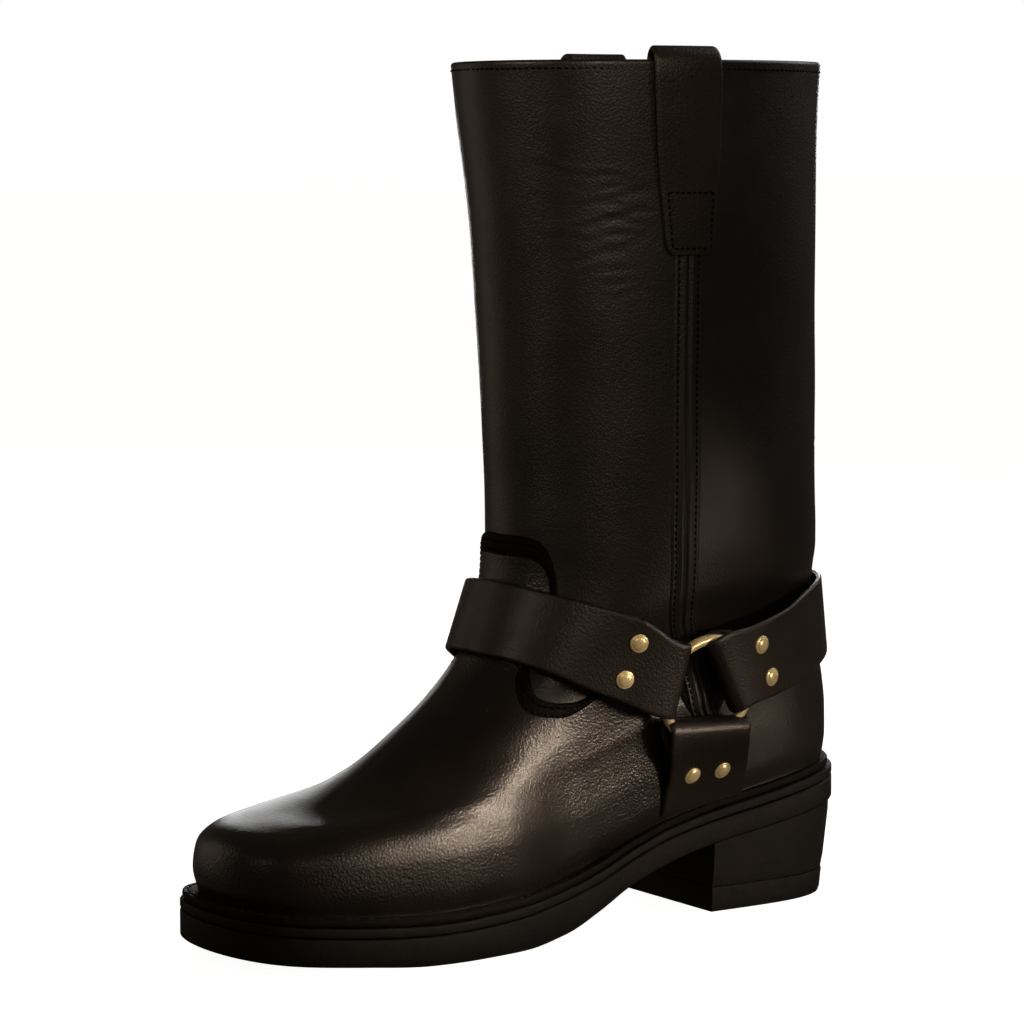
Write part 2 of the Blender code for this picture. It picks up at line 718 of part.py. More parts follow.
def make_harness(leather, brass):
    """Front, back and bottom straps, folded round the rings, with their rivets."""
    halves = {}
    for side, word in SIDES:
        make_ring(f"ring_{word}", side, brass)
        for place, stations, turns, steps in (
            ("front", FRONT_STRAP, FRONT_TURNS, FRONT_STEPS),
            ("back", BACK_STRAP, BACK_TURNS, BACK_STEPS),
            ("bottom", BOTTOM_STRAP, BOTTOM_TURNS, BOTTOM_STEPS),
        ):
            rows = half_strap(stations, side, *turns, steps)
            halves[place, side] = rows
            make_rivets(f"rivet_{place}_{word}", rows, steps - 1, side, brass)
        thick_sheet(f"bottom_strap_{word}", np.array(halves["bottom", side]), STRAP_THICK, leather)
    for place in ("front", "back"):
        rows = halves[place, -1][:0:-1] + halves[place, 1]
        thick_sheet(f"{place}_strap", np.array(rows), STRAP_THICK, leather)


def add_material(name, colour, roughness, metallic=0.0):
    material = bpy.data.materials.new(name)
    material.use_nodes = True
    shader = material.node_tree.nodes["Principled BSDF"]
    shader.inputs["Base Color"].default_value = (*colour, 1.0)
    shader.inputs["Roughness"].default_value = roughness
    shader.inputs["Metallic"].default_value = metallic
    return material


def main():
    for old in list(bpy.data.objects):
        bpy.data.objects.remove(old)
    upper_leather = add_material("upper_leather", (0.012, 0.010, 0.009), 0.38)
    strap_leather = add_material("strap_leather", (0.014, 0.012, 0.011), 0.42)
    welt_leather = add_material("welt_leather", (0.030, 0.022, 0.017), 0.60)
    insole_leather = add_material("insole_leather", (0.160, 0.105, 0.065), 0.70)
    rubber = add_material("sole_rubber", (0.020, 0.018, 0.017), 0.65)
    brass = add_material("brass", (0.78, 0.58, 0.25), 0.22, 1.0)
    make_sole(rubber)
    make_heel(rubber)
    make_welt(welt_leather)
    make_insole(insole_leather)
    make_upper(upper_leather)
    make_vamp(upper_leather)
    for side, word in SIDES:
        make_side_seam(word, side, upper_leather)
        make_pull_strap(word, side, strap_leather)
    make_harness(strap_leather, brass)


main()
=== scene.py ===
"""Looks of the tall harness boot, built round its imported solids.

Sizes are in millimetres and stations along the foot are counted from the back of the heel, as in the
part's source. to_frame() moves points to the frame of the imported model, in metres.
"""
import bpy
import numpy as np
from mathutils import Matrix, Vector


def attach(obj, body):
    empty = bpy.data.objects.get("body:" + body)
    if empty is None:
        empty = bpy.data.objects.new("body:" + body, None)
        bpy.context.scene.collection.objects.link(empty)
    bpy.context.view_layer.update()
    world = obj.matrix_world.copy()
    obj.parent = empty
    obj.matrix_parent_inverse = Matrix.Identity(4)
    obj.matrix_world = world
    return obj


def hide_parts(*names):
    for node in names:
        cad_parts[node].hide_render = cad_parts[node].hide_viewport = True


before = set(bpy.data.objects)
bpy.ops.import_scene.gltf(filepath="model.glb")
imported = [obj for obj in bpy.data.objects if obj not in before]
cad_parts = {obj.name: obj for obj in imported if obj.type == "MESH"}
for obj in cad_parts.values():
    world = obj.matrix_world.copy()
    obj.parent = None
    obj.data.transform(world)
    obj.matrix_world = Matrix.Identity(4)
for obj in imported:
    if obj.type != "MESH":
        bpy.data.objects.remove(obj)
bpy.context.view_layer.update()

MM = 0.001


def table(names, *rows):
    """A section table: one row for each section, its columns called by name."""
    return dict(zip(names.split(), np.array(rows, float).T))


GAP = 0.35

# Sole
SOLE_LENGTH = 284.0
BREAST = 75.0
TOE_POWER = 13.0
HEEL_POWER = 9.0
MIDSOLE_THICK = 3.6
WELT_THICK = 3.0
WELT_INSET = 0.8
WELT_END = 78.0
RAND_STEP = 0.8
LIFT_THICK = 9.6
HEEL_INSET = 0.8
HEEL_SIDE_TAPER = 1.8
HEEL_BACK_TAPER = 4.4
LIFT_TOP_SHARE = 0.75
HEEL_ROUNDING = 0.35
HEEL_ROUND_SHARE = 12
HEEL_LEVELS = 7

# Plan of the sole's edge: half widths to each side of the axis from heel to toe
PLAN = table(
    "station lateral medial",
    (0, 33, 33), (35, 34.5, 34), (75, 34, 33), (110, 34.5, 31), (145, 40, 33), (180, 50.5, 42),
    (205, 53, 47.5), (230, 50, 48.5), (257, 44.5, 46.5), (284, 40.5, 43.5),
)

# Width of the welt and rand that shows outside the upper
MARGIN = table(
    "station width",
    (0, 2.6), (75, 3.6), (160, 7.5), (284, 7.5),
)

# Side view of the sole: its top under the welt, and its tread
SOLE_SIDE = table(
    "station top tread",
    (0, 52, 38.6), (21, 49.3, 36), (56, 43.7, 30.8), (77, 40.2, 27.3), (98, 35.4, 22),
    (116, 29, 15.4), (131, 23.4, 8.4), (151, 18.8, 1.8), (173, 16.6, 0), (217, 15, 0),
    (241, 16, 1.6), (266, 17.8, 3.4), (284, 19.4, 5),
)

# Upper: rings from the feather edge up to the collar, each from its back to its front.
# Follow: how far a ring follows the sole's line. Bulge: outward from the feather's plan.
# Oval: 0 keeps the foot's plan, 1 is an oval of the half width.
UPPER = table(
    "front front_z back back_z follow bulge lean ankle oval half_width front_power back_power",
    (276.4, 22.9, 3.8, 55.6, 1, 0, 0, 0, 0, 36, 13, 8),
    (278.2, 31, 3, 65, 1, 1.5, 0, 1, 0, 36, 13, 8),
    (277, 40, 3, 76, 0.95, 1.8, 0.3, 2.2, 0, 36, 12, 7.5),
    (270.5, 46, 4, 88, 0.85, 1, 1.4, 4, 0, 36, 10, 7),
    (259.6, 48.9, 5.5, 98, 0.7, 0.3, 3.1, 5.5, 0.05, 37, 7.4, 6),
    (240.8, 52, 7, 106, 0.5, 0, 4.6, 6.5, 0.15, 37, 5, 5),
    (219, 60.2, 8.5, 114, 0.3, -0.4, 5.4, 6.5, 0.3, 37.5, 3.6, 4.2),
    (198.8, 72.9, 9.5, 121, 0.15, -1.6, 5, 5.8, 0.5, 39.8, 2.95, 3.6),
    (180.2, 86.7, 10.5, 128, 0.05, -3, 3, 4, 0.7, 42.8, 2.6, 3.2),
    (164.8, 102.5, 11.5, 136, 0, -3, 1, 2, 0.87, 45.8, 2.4, 2.9),
    (155.6, 120.2, 12.2, 145, 0, 0, 0, 0, 1, 48.6, 2.3, 2.6),
    (152.5, 140, 12.7, 156, 0, 0, 0, 0, 1, 50.5, 2.25, 2.4),
    (152.6, 165, 13.2, 172, 0, 0, 0, 0, 1, 51.3, 2.2, 2.3),
    (154, 195, 13.4, 197, 0, 0, 0, 0, 1, 51.5, 2.2, 2.2),
    (156.6, 235, 14, 235, 0, 0, 0, 0, 1, 53, 2.2, 2.2),
    (160.2, 275, 14.3, 275, 0, 0, 0, 0, 1, 55.2, 2.2, 2.2),
    (164.4, 310, 14.3, 310, 0, 0, 0, 0, 1, 57, 2.2, 2.2),
    (166.8, 330, 13.5, 331, 0, 0, 0, 0, 1, 58, 2.2, 2.2),
)
ANKLE = 88.0
ANKLE_SPREAD = 58.0
FOREPART = (140.0, 210.0)
TOP_ROW = len(UPPER["front"]) - 1
WALL = 2.2

# Pull straps: from the sewn end outside, over the collar, to the end inside
PULL_STRAP = table(
    "height lift width",
    (258, 1.6, 15.5), (260.5, 1.6, 19.4), (270, 1.6, 21.4), (281, 1.7, 23.4), (296, 2.6, 25.6),
    (312, 3.5, 26.4), (324, 3.9, 27), (330, 3.4, 27), (333.2, 1.6, 27), (334.4, -1.1, 27),
    (333.2, -3.8, 27), (330, -5.4, 27), (322, -5.6, 27), (306, -4.8, 26), (290, -4.1, 25),
)
PULL_ANGLE = {"lateral": 76.0, "medial": 104.0}
PULL_THICK = 2.2
PULL_WIDTH = 24.0

# Harness: rings, straps and rivets. Stations run from a strap's middle to its rivets, with the
# angle and height of its lower and upper edges. Fold: the turn round the ring's centre and the distance
# from it of each end of the straight line on which a strap folds.
RING_ANGLE = 104.0
RING_HEIGHT = 92.6
RING_RADIUS = 20.0
RING_LIFT = 10.0
RING_LEAN = 9.0
WIRE_RADIUS = 2.0
FRONT_STRAP = table(
    "low_angle low high_angle high lift",
    (0, 104, 0, 133, 4.4), (18, 102.9, 18, 131.4, 5.5), (37, 99.8, 36, 128.2, 5.9),
    (55, 95.8, 50, 124.8, 6.8), (72, 91.2, 62, 121.6, 8.8),
)
FRONT_FOLD = ((-33.0, 18.2), (62.0, 21.6))
BACK_STRAP = table(
    "low_angle low high_angle high lift",
    (180, 98.5, 180, 128.4, 2.4), (163, 96.8, 157, 128.8, 2.8), (148, 93.2, 133, 127.2, 4.8),
    (136, 89, 116, 122.8, 8.6), (127, 86.2, 103, 119.6, 10.6),
)
BACK_FOLD = ((220.0, 16.4), (77.0, 19.4))
BOTTOM_STRAP = table(
    "low_angle low high_angle high lift",
    (106.7, 41.4, 125, 43.8, 1.8), (106.7, 46, 124.8, 48.6, 2.4), (106.6, 52, 124.3, 54.4, 3.6),
    (106.4, 57.4, 123.9, 59.4, 5.2),
)
BOTTOM_FOLD = ((-32.0, 20.4), (-150.0, 23.0))
STRAP_THICK = 2.2
STRAP_WIDTH = 31.0
FOLD_RADIUS = 3.6
RIVET_SHARES = {"front": (0.27, 0.73), "back": (0.27, 0.73), "bottom": (0.28, 0.66)}
SIDES = ((1, "lateral"), (-1, "medial"))

# Steps of the measurements on the upper
TURN = 0.004
CLIMB = 0.02
ROW_HALVINGS = 26


def smooth(knots, values, at):
    """Monotone cubic curve through a table's column."""
    knots = np.asarray(knots, float)
    values = np.asarray(values, float)
    step = np.diff(knots)
    slope = np.diff(values) / step
    before = slope[:-1]
    after = slope[1:]
    same_way = before * after > 0
    weight_before = 2 * step[1:] + step[:-1]
    weight_after = step[1:] + 2 * step[:-1]
    safe_before = np.where(same_way, before, 1.0)
    safe_after = np.where(same_way, after, 1.0)
    mean = (weight_before + weight_after) / (weight_before / safe_before + weight_after / safe_after)
    tangent = np.concatenate([slope[:1], np.where(same_way, mean, 0.0), slope[-1:]])
    at = np.clip(np.asarray(at, float), knots[0], knots[-1])
    i = np.clip(np.searchsorted(knots, at, side="right") - 1, 0, len(step) - 1)
    t = (at - knots[i]) / step[i]
    rise = (values[i + 1] - values[i]) * t * t * (3 - 2 * t)
    lean = step[i] * t * (1 - t) * (tangent[i] * (1 - t) - tangent[i + 1] * t)
    return values[i] + rise + lean


def between(rows, at):
    """Columns of a table at places counted in its rows."""
    knots = np.arange(len(next(iter(rows.values()))))
    return {name: smooth(knots, values, at) for name, values in rows.items()}


def sole_top(x):
    """Height of the midsole's top."""
    return smooth(SOLE_SIDE["station"], SOLE_SIDE["top"], x)


def sole_tread(x):
    """Height of the outsole's underside."""
    return smooth(SOLE_SIDE["station"], SOLE_SIDE["tread"], x)


def feather_height(x):
    """Height of the upper's lower edge."""
    return sole_top(x) + WELT_THICK + 2 * GAP


def plan_half_width(x, side):
    """Half width of the sole, on the lateral side (+1) or the medial side (-1)."""
    lateral = smooth(PLAN["station"], PLAN["lateral"], x)
    medial = smooth(PLAN["station"], PLAN["medial"], x)
    return np.where(side >= 0, lateral, medial)


def margin(x):
    """Width of the welt that shows outside the upper."""
    return smooth(MARGIN["station"], MARGIN["width"], x)


def closing(c, front_power, back_power):
    """Share of the width that is left towards the ends of a ring."""
    power = np.where(c >= 0, front_power, back_power)
    return np.sqrt(np.maximum(0.0, 1 - np.abs(c) ** power))


def upper_point(angle, row):
    """Point of the upper's outer face. Angle 0 is the front, pi the back, + the lateral side."""
    angle, row = np.broadcast_arrays(np.asarray(angle, float), np.asarray(row, float))
    at = between(UPPER, row)
    c = np.cos(angle)
    side = np.where(np.sin(angle) >= 0, 1.0, -1.0)
    along = (1 + c) / 2
    x = at["back"] + (at["front"] - at["back"]) * along
    share = np.clip((x - FOREPART[0]) / (FOREPART[1] - FOREPART[0]), 0, 1)
    foot = plan_half_width(x, side) - margin(x) + at["bulge"] - at["lean"] * share * share * (3 - 2 * share)
    foot = foot + at["ankle"] * np.exp(-((x - ANKLE) / ANKLE_SPREAD) ** 2)
    width = (1 - at["oval"]) * foot + at["oval"] * at["half_width"]
    y = side * width * closing(c, at["front_power"], at["back_power"])
    chord = at["back_z"] + (at["front_z"] - at["back_z"]) * along
    feather_front = feather_height(UPPER["front"][0])
    feather_back = feather_height(UPPER["back"][0])
    feather_chord = feather_back + (feather_front - feather_back) * along
    z = chord + at["follow"] * (feather_height(x) - feather_chord)
    return np.stack([x, y, z], -1)


def upper_normal(angle, row):
    """Outward direction of the upper's outer face."""
    along = upper_point(angle + TURN, row) - upper_point(angle - TURN, row)
    above = upper_point(angle, np.minimum(row + CLIMB, TOP_ROW))
    below = upper_point(angle, np.maximum(row - CLIMB, 0))
    return unit(np.cross(along, above - below))


def over_upper(angle, row, height):
    """Point at a height over the upper's outer face."""
    height = np.asarray(height, float)
    return upper_point(angle, row) + upper_normal(angle, row) * height[..., None]


def row_at(angle, height):
    """Row of the upper's table at which the outer face reaches a height."""
    angle, height = np.broadcast_arrays(np.asarray(angle, float), np.asarray(height, float))
    low = np.zeros(angle.shape)
    high = np.full(angle.shape, float(TOP_ROW))
    for _ in range(ROW_HALVINGS):
        middle = (low + high) / 2
        under = upper_point(angle, middle)[..., 2] < height
        low, high = np.where(under, middle, low), np.where(under, high, middle)
    return (low + high) / 2


def at_height(angle, height, lift):
    """Point lifted off the upper, at an angle and a height above the floor."""
    return over_upper(angle, row_at(angle, height), lift + np.zeros(np.shape(angle)))


def turn_per_mm(angle, height):
    """Angle that takes a point one millimetre round the upper."""
    ahead = at_height(angle + TURN, height, 0.0)
    behind = at_height(angle - TURN, height, 0.0)
    return 2 * TURN / np.linalg.norm(ahead - behind, axis=-1)


def full_turn(steps):
    """Angles of even steps round a circle."""
    return np.linspace(0, 2 * np.pi, steps, endpoint=False)


def unit(vectors):
    """Vectors made one long."""
    return vectors / np.linalg.norm(vectors, axis=-1, keepdims=True)


# Finer lines of the looks. Foot: the angle at the feather edge from which a line of the vamp's grid
# runs up to its edge.
VAMP_LINE = table(
    "angle height foot",
    (0, 150.6, 0), (8, 150.7, 5), (14, 150.4, 9), (19, 149.5, 12), (22.5, 147.4, 15),
    (25, 143.6, 18), (27, 137.5, 21), (28.6, 130.5, 24), (28.8, 122, 27), (28, 112, 30),
    (28.2, 104.5, 33), (31, 100.9, 36), (35.6, 97, 39.5), (40.8, 93.4, 43.5), (46.3, 91, 48),
    (51.5, 89.8, 53), (56.9, 89.2, 58), (61.8, 89.1, 62.5), (65.2, 90.2, 66),
    (67.6, 92.6, 69.5), (70.5, 96.2, 74), (75, 99.8, 79.5), (81, 102.2, 85), (90, 103.5, 92),
    (99, 96, 99.5), (108, 86, 108), (117, 75, 117),
)
SEAM_LINE = table(
    "height lateral medial base",
    (66, 121.5, 114, 1.7), (79, 113.3, 109.5, 1.7), (90.5, 106, 105.5, 1.7),
    (101, 97.4, 102.5, 1.7), (106, 92.4, 101.3, 1.3), (111, 87, 101.4, 0.2),
    (118, 81, 101.8, 0), (128, 76.2, 102, 0), (150, 73.9, 102.5, 0), (204, 75, 103.5, 0),
    (259, 76.2, 104, 0),
)
# Half of the side seam's section, from its outer edge to its groove
SEAM_PROFILE = table(
    "across high",
    (-6, -0.4), (-5.7, 0.25), (-5.1, 0.55), (-4.5, 0.5), (-4.1, 0.38), (-3.7, 0.5),
    (-2.9, 0.62), (-2, 0.9), (-1.2, 0.98), (-0.6, 0.62), (0, -0.1),
)
RIVET_PROFILE = table(
    "radius high",
    (3.6, -0.25), (3.6, 0.3), (3.45, 0.5), (3.15, 0.58), (2.95, 0.56), (2.8, 0.72), (2.4, 1.02),
    (1.8, 1.24), (1, 1.4), (0.1, 1.45),
)
WELT_PROFILE = table(
    "inset high",
    (0.5, 0), (0.1, 0.4), (0, 1.4), (0.1, 2.4), (0.5, 2.9), (1.1, 3), (1.7, 2.85), (2.2, 2.62),
    (2.7, 2.85), (3.4, 3),
)
ACROSS = np.array((0, 0.008, 0.02, 0.04, 0.07, 0.12, 0.2, 0.3, 0.4, 0.5))
ACROSS = np.concatenate([ACROSS, 1 - ACROSS[-2::-1]])


def to_frame(points):
    """Points in millimetres and stations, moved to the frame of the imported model."""
    return (np.asarray(points, float) - (SOLE_LENGTH / 2, 0, 0)) * MM


def add_object(name, data):
    """An object in the scene."""
    thing = bpy.data.objects.new(name, data)
    bpy.context.scene.collection.objects.link(thing)
    return thing


def add_piece(name, points, faces, materials, nodes=(), kinds=None, sharp=40.0):
    """One piece of the looks, riding on the boot."""
    mesh = bpy.data.meshes.new(name)
    mesh.from_pydata(to_frame(points).tolist(), [], [tuple(int(k) for k in face) for face in faces])
    for material in materials:
        mesh.materials.append(material)
    if kinds is not None:
        mesh.polygons.foreach_set("material_index", np.asarray(kinds, np.int32))
    mesh.shade_smooth()
    if sharp:
        mesh.set_sharp_from_angle(angle=np.radians(sharp))
    mesh.update()
    piece = add_object(name, mesh)
    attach(piece, "root")
    if nodes:
        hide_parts(*nodes)


def grid_faces(rows, columns):
    """Quads of a grid, seen from the side where columns run to the right and rows run up."""
    r, c = np.meshgrid(np.arange(rows - 1), np.arange(columns - 1), indexing="ij")
    low, high = r * columns, (r + 1) * columns
    quads = np.stack([low + c, low + c + 1, high + c + 1, high + c], -1)
    return quads.reshape(-1, 4)


def tube_faces(loops, around, ring=False):
    """Quads of loops joined one to the next, with end caps unless the loops make a ring."""
    k, i = np.meshgrid(np.arange(loops if ring else loops - 1), np.arange(around), indexing="ij")
    j = (i + 1) % around
    after = (k + 1) % loops
    quads = np.stack([k * around + i, k * around + j, after * around + j, after * around + i], -1)
    faces = quads.reshape(-1, 4).tolist()
    if not ring:
        faces.append(list(range(around))[::-1])
        faces.append([(loops - 1) * around + i for i in range(around)])
    return faces


def volume(points, faces):
    """Signed volume inside the quads of a closed piece."""
    a, b, c, d = (points[[face[k] for face in faces if len(face) == 4]] for k in range(4))
    return np.einsum("ij,ij->", a, np.cross(b, c) + np.cross(c, d))


def turned_out(points, faces):
    """Faces of a closed piece, turned outwards."""
    if volume(points - points.mean(0), faces) < 0:
        return [face[::-1] for face in faces]
    return faces


def closed_tube(name, loops, material, node, ring=False, sharp=40.0):
    """A piece from closed loops of points."""
    loops = np.array(loops)
    points = loops.reshape(-1, 3)
    faces = turned_out(points, tube_faces(*loops.shape[:2], ring))
    add_piece(name, points, faces, [material], (node,), sharp=sharp)


def grid_normals(grid):
    """Directions across a grid of points."""
    return unit(np.cross(np.gradient(grid, axis=0), np.gradient(grid, axis=1)))


BAND_ROUNDING = 1.0


def band_loops(middle, thick, width):
    """Loops round a strap: its middle surface made thick, with rounded edges."""
    edge = np.minimum(ACROSS, 1 - ACROSS) * width
    half = thick / 2 * np.sqrt(np.clip(1 - (1 - np.clip(edge / BAND_ROUNDING, 0, 1)) ** 2, 0.06, 1))
    lift = grid_normals(middle) * half[:, None]
    return np.concatenate([middle + lift, (middle - lift)[:, ::-1]], 1)


def interpolate(at, knots, points):
    """Points at places along a line of points."""
    return np.stack([np.interp(at, knots, points[:, k]) for k in range(3)], -1)


def along_path(points, normals, pitch):
    """Places, directions and normals at an even pitch along a line of points."""
    length = np.concatenate([[0], np.cumsum(np.linalg.norm(np.diff(points, axis=0), axis=1))])
    at = np.arange(0.5 * pitch, length[-1], pitch)
    way = unit(interpolate(at, length, np.gradient(points, axis=0)))
    return interpolate(at, length, points), way, unit(interpolate(at, length, normals))


STITCH_RINGS = table("along size", (-0.32, 0.78), (0.0, 1.0), (0.32, 0.78))
STITCH_SIDES = 6
# Pitch, length, half width, half height and depth in the leather of each kind of stitch
STITCHES = {
    "vamp": (2.6, 2.1, 0.55, 0.5, 0.05),
    "side_seam": (2.5, 1.9, 0.45, 0.4, 0.05),
    "pull_strap": (2.4, 1.9, 0.5, 0.45, 0.05),
    "welt": (4.6, 3.4, 0.45, 0.38, 0.0),
    "collar": (2.6, 2.0, 0.4, 0.35, 0.05),
}


def stitch_mesh(lines, length, wide, high, sink):
    """Points and faces of separate stitches along lines of (place, way, normal)."""
    points = []
    faces = []
    turn = full_turn(STITCH_SIDES)
    for place, way, normal in lines:
        side = unit(np.cross(normal, way))
        for p, w, n, s in zip(place, way, normal, side):
            base = len(points)
            centre = p - n * sink
            points.append(centre - w * length * 0.5)
            for along, size in zip(*STITCH_RINGS.values()):
                for a in turn:
                    spoke = s * wide * np.cos(a) + n * high * np.sin(a)
                    points.append(centre + w * length * along + size * spoke)
            points.append(centre + w * length * 0.5)
            last = base + 1 + 3 * STITCH_SIDES
            for i in range(STITCH_SIDES):
                j = (i + 1) % STITCH_SIDES
                faces.append((base, base + 1 + j, base + 1 + i))
                for k in range(2):
                    low = base + 1 + k * STITCH_SIDES
                    faces.append((low + i, low + j, low + STITCH_SIDES + j, low + STITCH_SIDES + i))
                top = base + 1 + 2 * STITCH_SIDES
                faces.append((top + i, top + j, last))
    return np.array(points), faces


def add_stitches(name, lines, material, kind):
    """Stitches of a kind along lines of (points, normals), as one piece."""
    pitch, *size = STITCHES[kind]
    points, faces = stitch_mesh([along_path(*line, pitch) for line in lines], *size)
    add_piece(name, points, faces, [material], sharp=None)


# Creases of the shaft, each from one angle and height to another
CREASES = table(
    "angle height to_angle to_height depth",
    (22, 294, 43, 285, 0.1), (26, 290, 46, 281, 0.09), (30, 292, 49, 284, 0.11),
    (41, 288, 66, 285, 0.12), (45, 282, 66, 284, 0.13), (44, 279, 66, 281, 0.14),
    (38, 276, 63, 277, 0.11), (46, 273, 67, 274, 0.14), (47, 270, 67, 270, 0.12),
    (32, 267, 61, 273, 0.11), (23, 267, 47, 262, 0.1), (47, 264, 66, 268, 0.13),
    (45, 259, 65, 265, 0.12), (33, 255, 58, 260, 0.1), (36, 250, 60, 254, 0.09),
    (45, 248, 63, 247, 0.1), (48, 242, 64, 245, 0.08), (84, 264, 91, 270, 0.12),
    (84, 269, 93, 272, 0.12), (84, 277, 93, 274, 0.1), (-62, 286, -34, 279, 0.12),
    (-70, 278, -42, 275, 0.13), (-68, 271, -40, 270, 0.12), (-66, 262, -36, 266, 0.11),
    (-120, 206, -70, 198, 0.14), (-128, 172, -80, 166, 0.14), (140, 182, 205, 176, 0.16),
    (150, 226, 214, 232, 0.12),
)
CREASE_WIDTH = 1.1
CREASE_RIDGE = 2.0
CREASE_RIDGE_SHARE = 0.8
CREASE_WANDER = 0.8
CREASE_WAVES = 7
CREASE_FADE = 0.42
CREASE_GAIN = 1.15
# Swells of the shaft: size, waves round it, and the heights and turns that shift them
SWELLS = table("size turns rise wave drift", (0.40, 3, 31, 47, 1), (0.22, 7, -19, 23, 2))
SHAFT_FROM = 150
SHAFT_FADE = 8


def creases(angle, height):
    """Soft troughs of the leather, each with a low ridge above it, in millimetres."""
    total = np.zeros(np.shape(angle))
    for first, low, last, high, depth in zip(*CREASES.values()):
        middle = (first + last) / 2
        turn = (np.degrees(angle) - middle + 180) % 360 - 180 + middle
        along = (turn - first) / (last - first)
        off = height - low - (high - low) * along - CREASE_WANDER * np.sin(CREASE_WAVES * along + low)
        fade = np.exp(-(((along - 0.5) / CREASE_FADE) ** 4))
        ridge = np.exp(-(((off - CREASE_RIDGE) / CREASE_WIDTH) ** 2))
        trough = np.exp(-((off / CREASE_WIDTH) ** 2)) - CREASE_RIDGE_SHARE * ridge
        total = total - depth * fade * trough
    return total


def relief(angle, row):
    """Swells and creases of the leather of the upper, in millimetres."""
    height = upper_point(angle, row)[..., 2]
    shaft = 1 / (1 + np.exp(-(height - SHAFT_FROM) / SHAFT_FADE))
    total = CREASE_GAIN * creases(angle, height)
    swell = 0.0
    for size, turns, rise, wave, drift in zip(*SWELLS.values()):
        swell = swell + size * np.sin(turns * angle + height / rise) * np.sin(height / wave + drift * angle)
    return shaft * (swell + total)


UPPER_COLUMNS = 280
FOOT_ROWS = 100
SHAFT_ROWS = 140
LINING_ROWS = 44
RIM_STEPS = 8
FOOT_END, SHAFT_START, LINING_END = 11.9, 12, 0.1
RIM_RADIUS = WALL / 2
RIM_ROW = 16.945
FEATHER_DROP = 0.45


def make_upper(leather, lining):
    """Foot and shaft: outer leather, rolled rim and lining as one closed wall."""
    angles = full_turn(UPPER_COLUMNS)
    foot_rows = np.linspace(0, FOOT_END, FOOT_ROWS)
    rows = np.concatenate([foot_rows, np.linspace(SHAFT_START, RIM_ROW, SHAFT_ROWS)])
    angle, row = np.meshgrid(angles, rows)
    outer = over_upper(angle, row, relief(angle, row))
    drop = outer[:1] - (0, 0, FEATHER_DROP)
    top = np.full_like(angles, RIM_ROW)
    normal = upper_normal(angles, top)
    middle = over_upper(angles, top, relief(angles, top) - RIM_RADIUS)
    turns = np.linspace(0, np.pi, RIM_STEPS)[1:-1]
    rim = [middle + normal * RIM_RADIUS * np.cos(turn) + (0, 0, RIM_RADIUS * np.sin(turn)) for turn in turns]
    angle, row = np.meshgrid(angles, np.linspace(RIM_ROW, LINING_END, LINING_ROWS))
    inner = over_upper(angle, row, relief(angle, row) - WALL)
    foot = inner[-1:].copy()
    foot[..., 2] = drop[..., 2]
    loops = np.concatenate([drop, outer, np.array(rim), inner, foot])
    count = len(loops)
    faces = tube_faces(count, UPPER_COLUMNS, ring=True)
    kinds = np.repeat((np.arange(count) >= 1 + len(outer) + len(rim) // 2).astype(int), UPPER_COLUMNS)
    skins = [leather, lining]
    add_piece("upper_skin", loops.reshape(-1, 3), faces, skins, ("upper",), kinds)


VAMP_BASE = 0.15
VAMP_RISE = 1.55
VAMP_ROUNDING = 1.4
VAMP_ROWS = 64
VAMP_EDGE_BAND = 9.0
VAMP_STITCHES = (2.1, 4.9)
VAMP_NEAR_EDGE = np.array((
    7.8, 6.6, 5.8, 5.3, 4.9, 4.5, 4.0, 3.2, 2.6,
    2.35, 2.1, 1.85, 1.4, 1.0, 0.65, 0.35, 0.15, 0.0,
))
# Width of the band along the vamp's edge that takes the darker, duller leather: partly the edge's black
# finish, partly painted shade of the fold and the stitches.
VAMP_DARK_BAND = 6
VAMP_COLUMNS = 140
VAMP_LENGTH_STEPS = 25
VAMP_STITCHED = slice(4, -4)
VAMP_TUCK = -0.4
STITCH_RISE = 0.1
STITCH_GROOVE = 0.25
STITCH_GROOVE_WIDTH = 0.45


def vamp_lines():
    """Angle and row at the foot and at the edge of each line of the vamp's grid, and its length."""
    half = np.linspace(0, len(VAMP_LINE["angle"]) - 1, VAMP_COLUMNS)
    at = np.concatenate([-half[:0:-1], half])
    side = np.where(at < 0, -1.0, 1.0)
    places = between(VAMP_LINE, np.abs(at))
    edge_angle = side * np.radians(places["angle"])
    foot_angle = side * np.radians(places["foot"])
    edge_row = row_at(edge_angle, places["height"])
    share = np.linspace(0, 1, VAMP_LENGTH_STEPS)[:, None]
    line = upper_point(foot_angle + (edge_angle - foot_angle) * share, edge_row * share)
    length = np.linalg.norm(np.diff(line, axis=0), axis=-1).sum(0)
    return foot_angle, edge_angle, edge_row, length


def vamp_height(inset):
    """Height of the vamp's face over the upper, at a distance from its edge."""
    rounding = np.clip(inset / VAMP_ROUNDING, 0, 1)
    height = VAMP_BASE + VAMP_RISE * np.sqrt(1 - (1 - rounding) ** 2)
    for row in VAMP_STITCHES:
        height = height - STITCH_GROOVE * np.exp(-(((inset - row) / STITCH_GROOVE_WIDTH) ** 2))
    return height


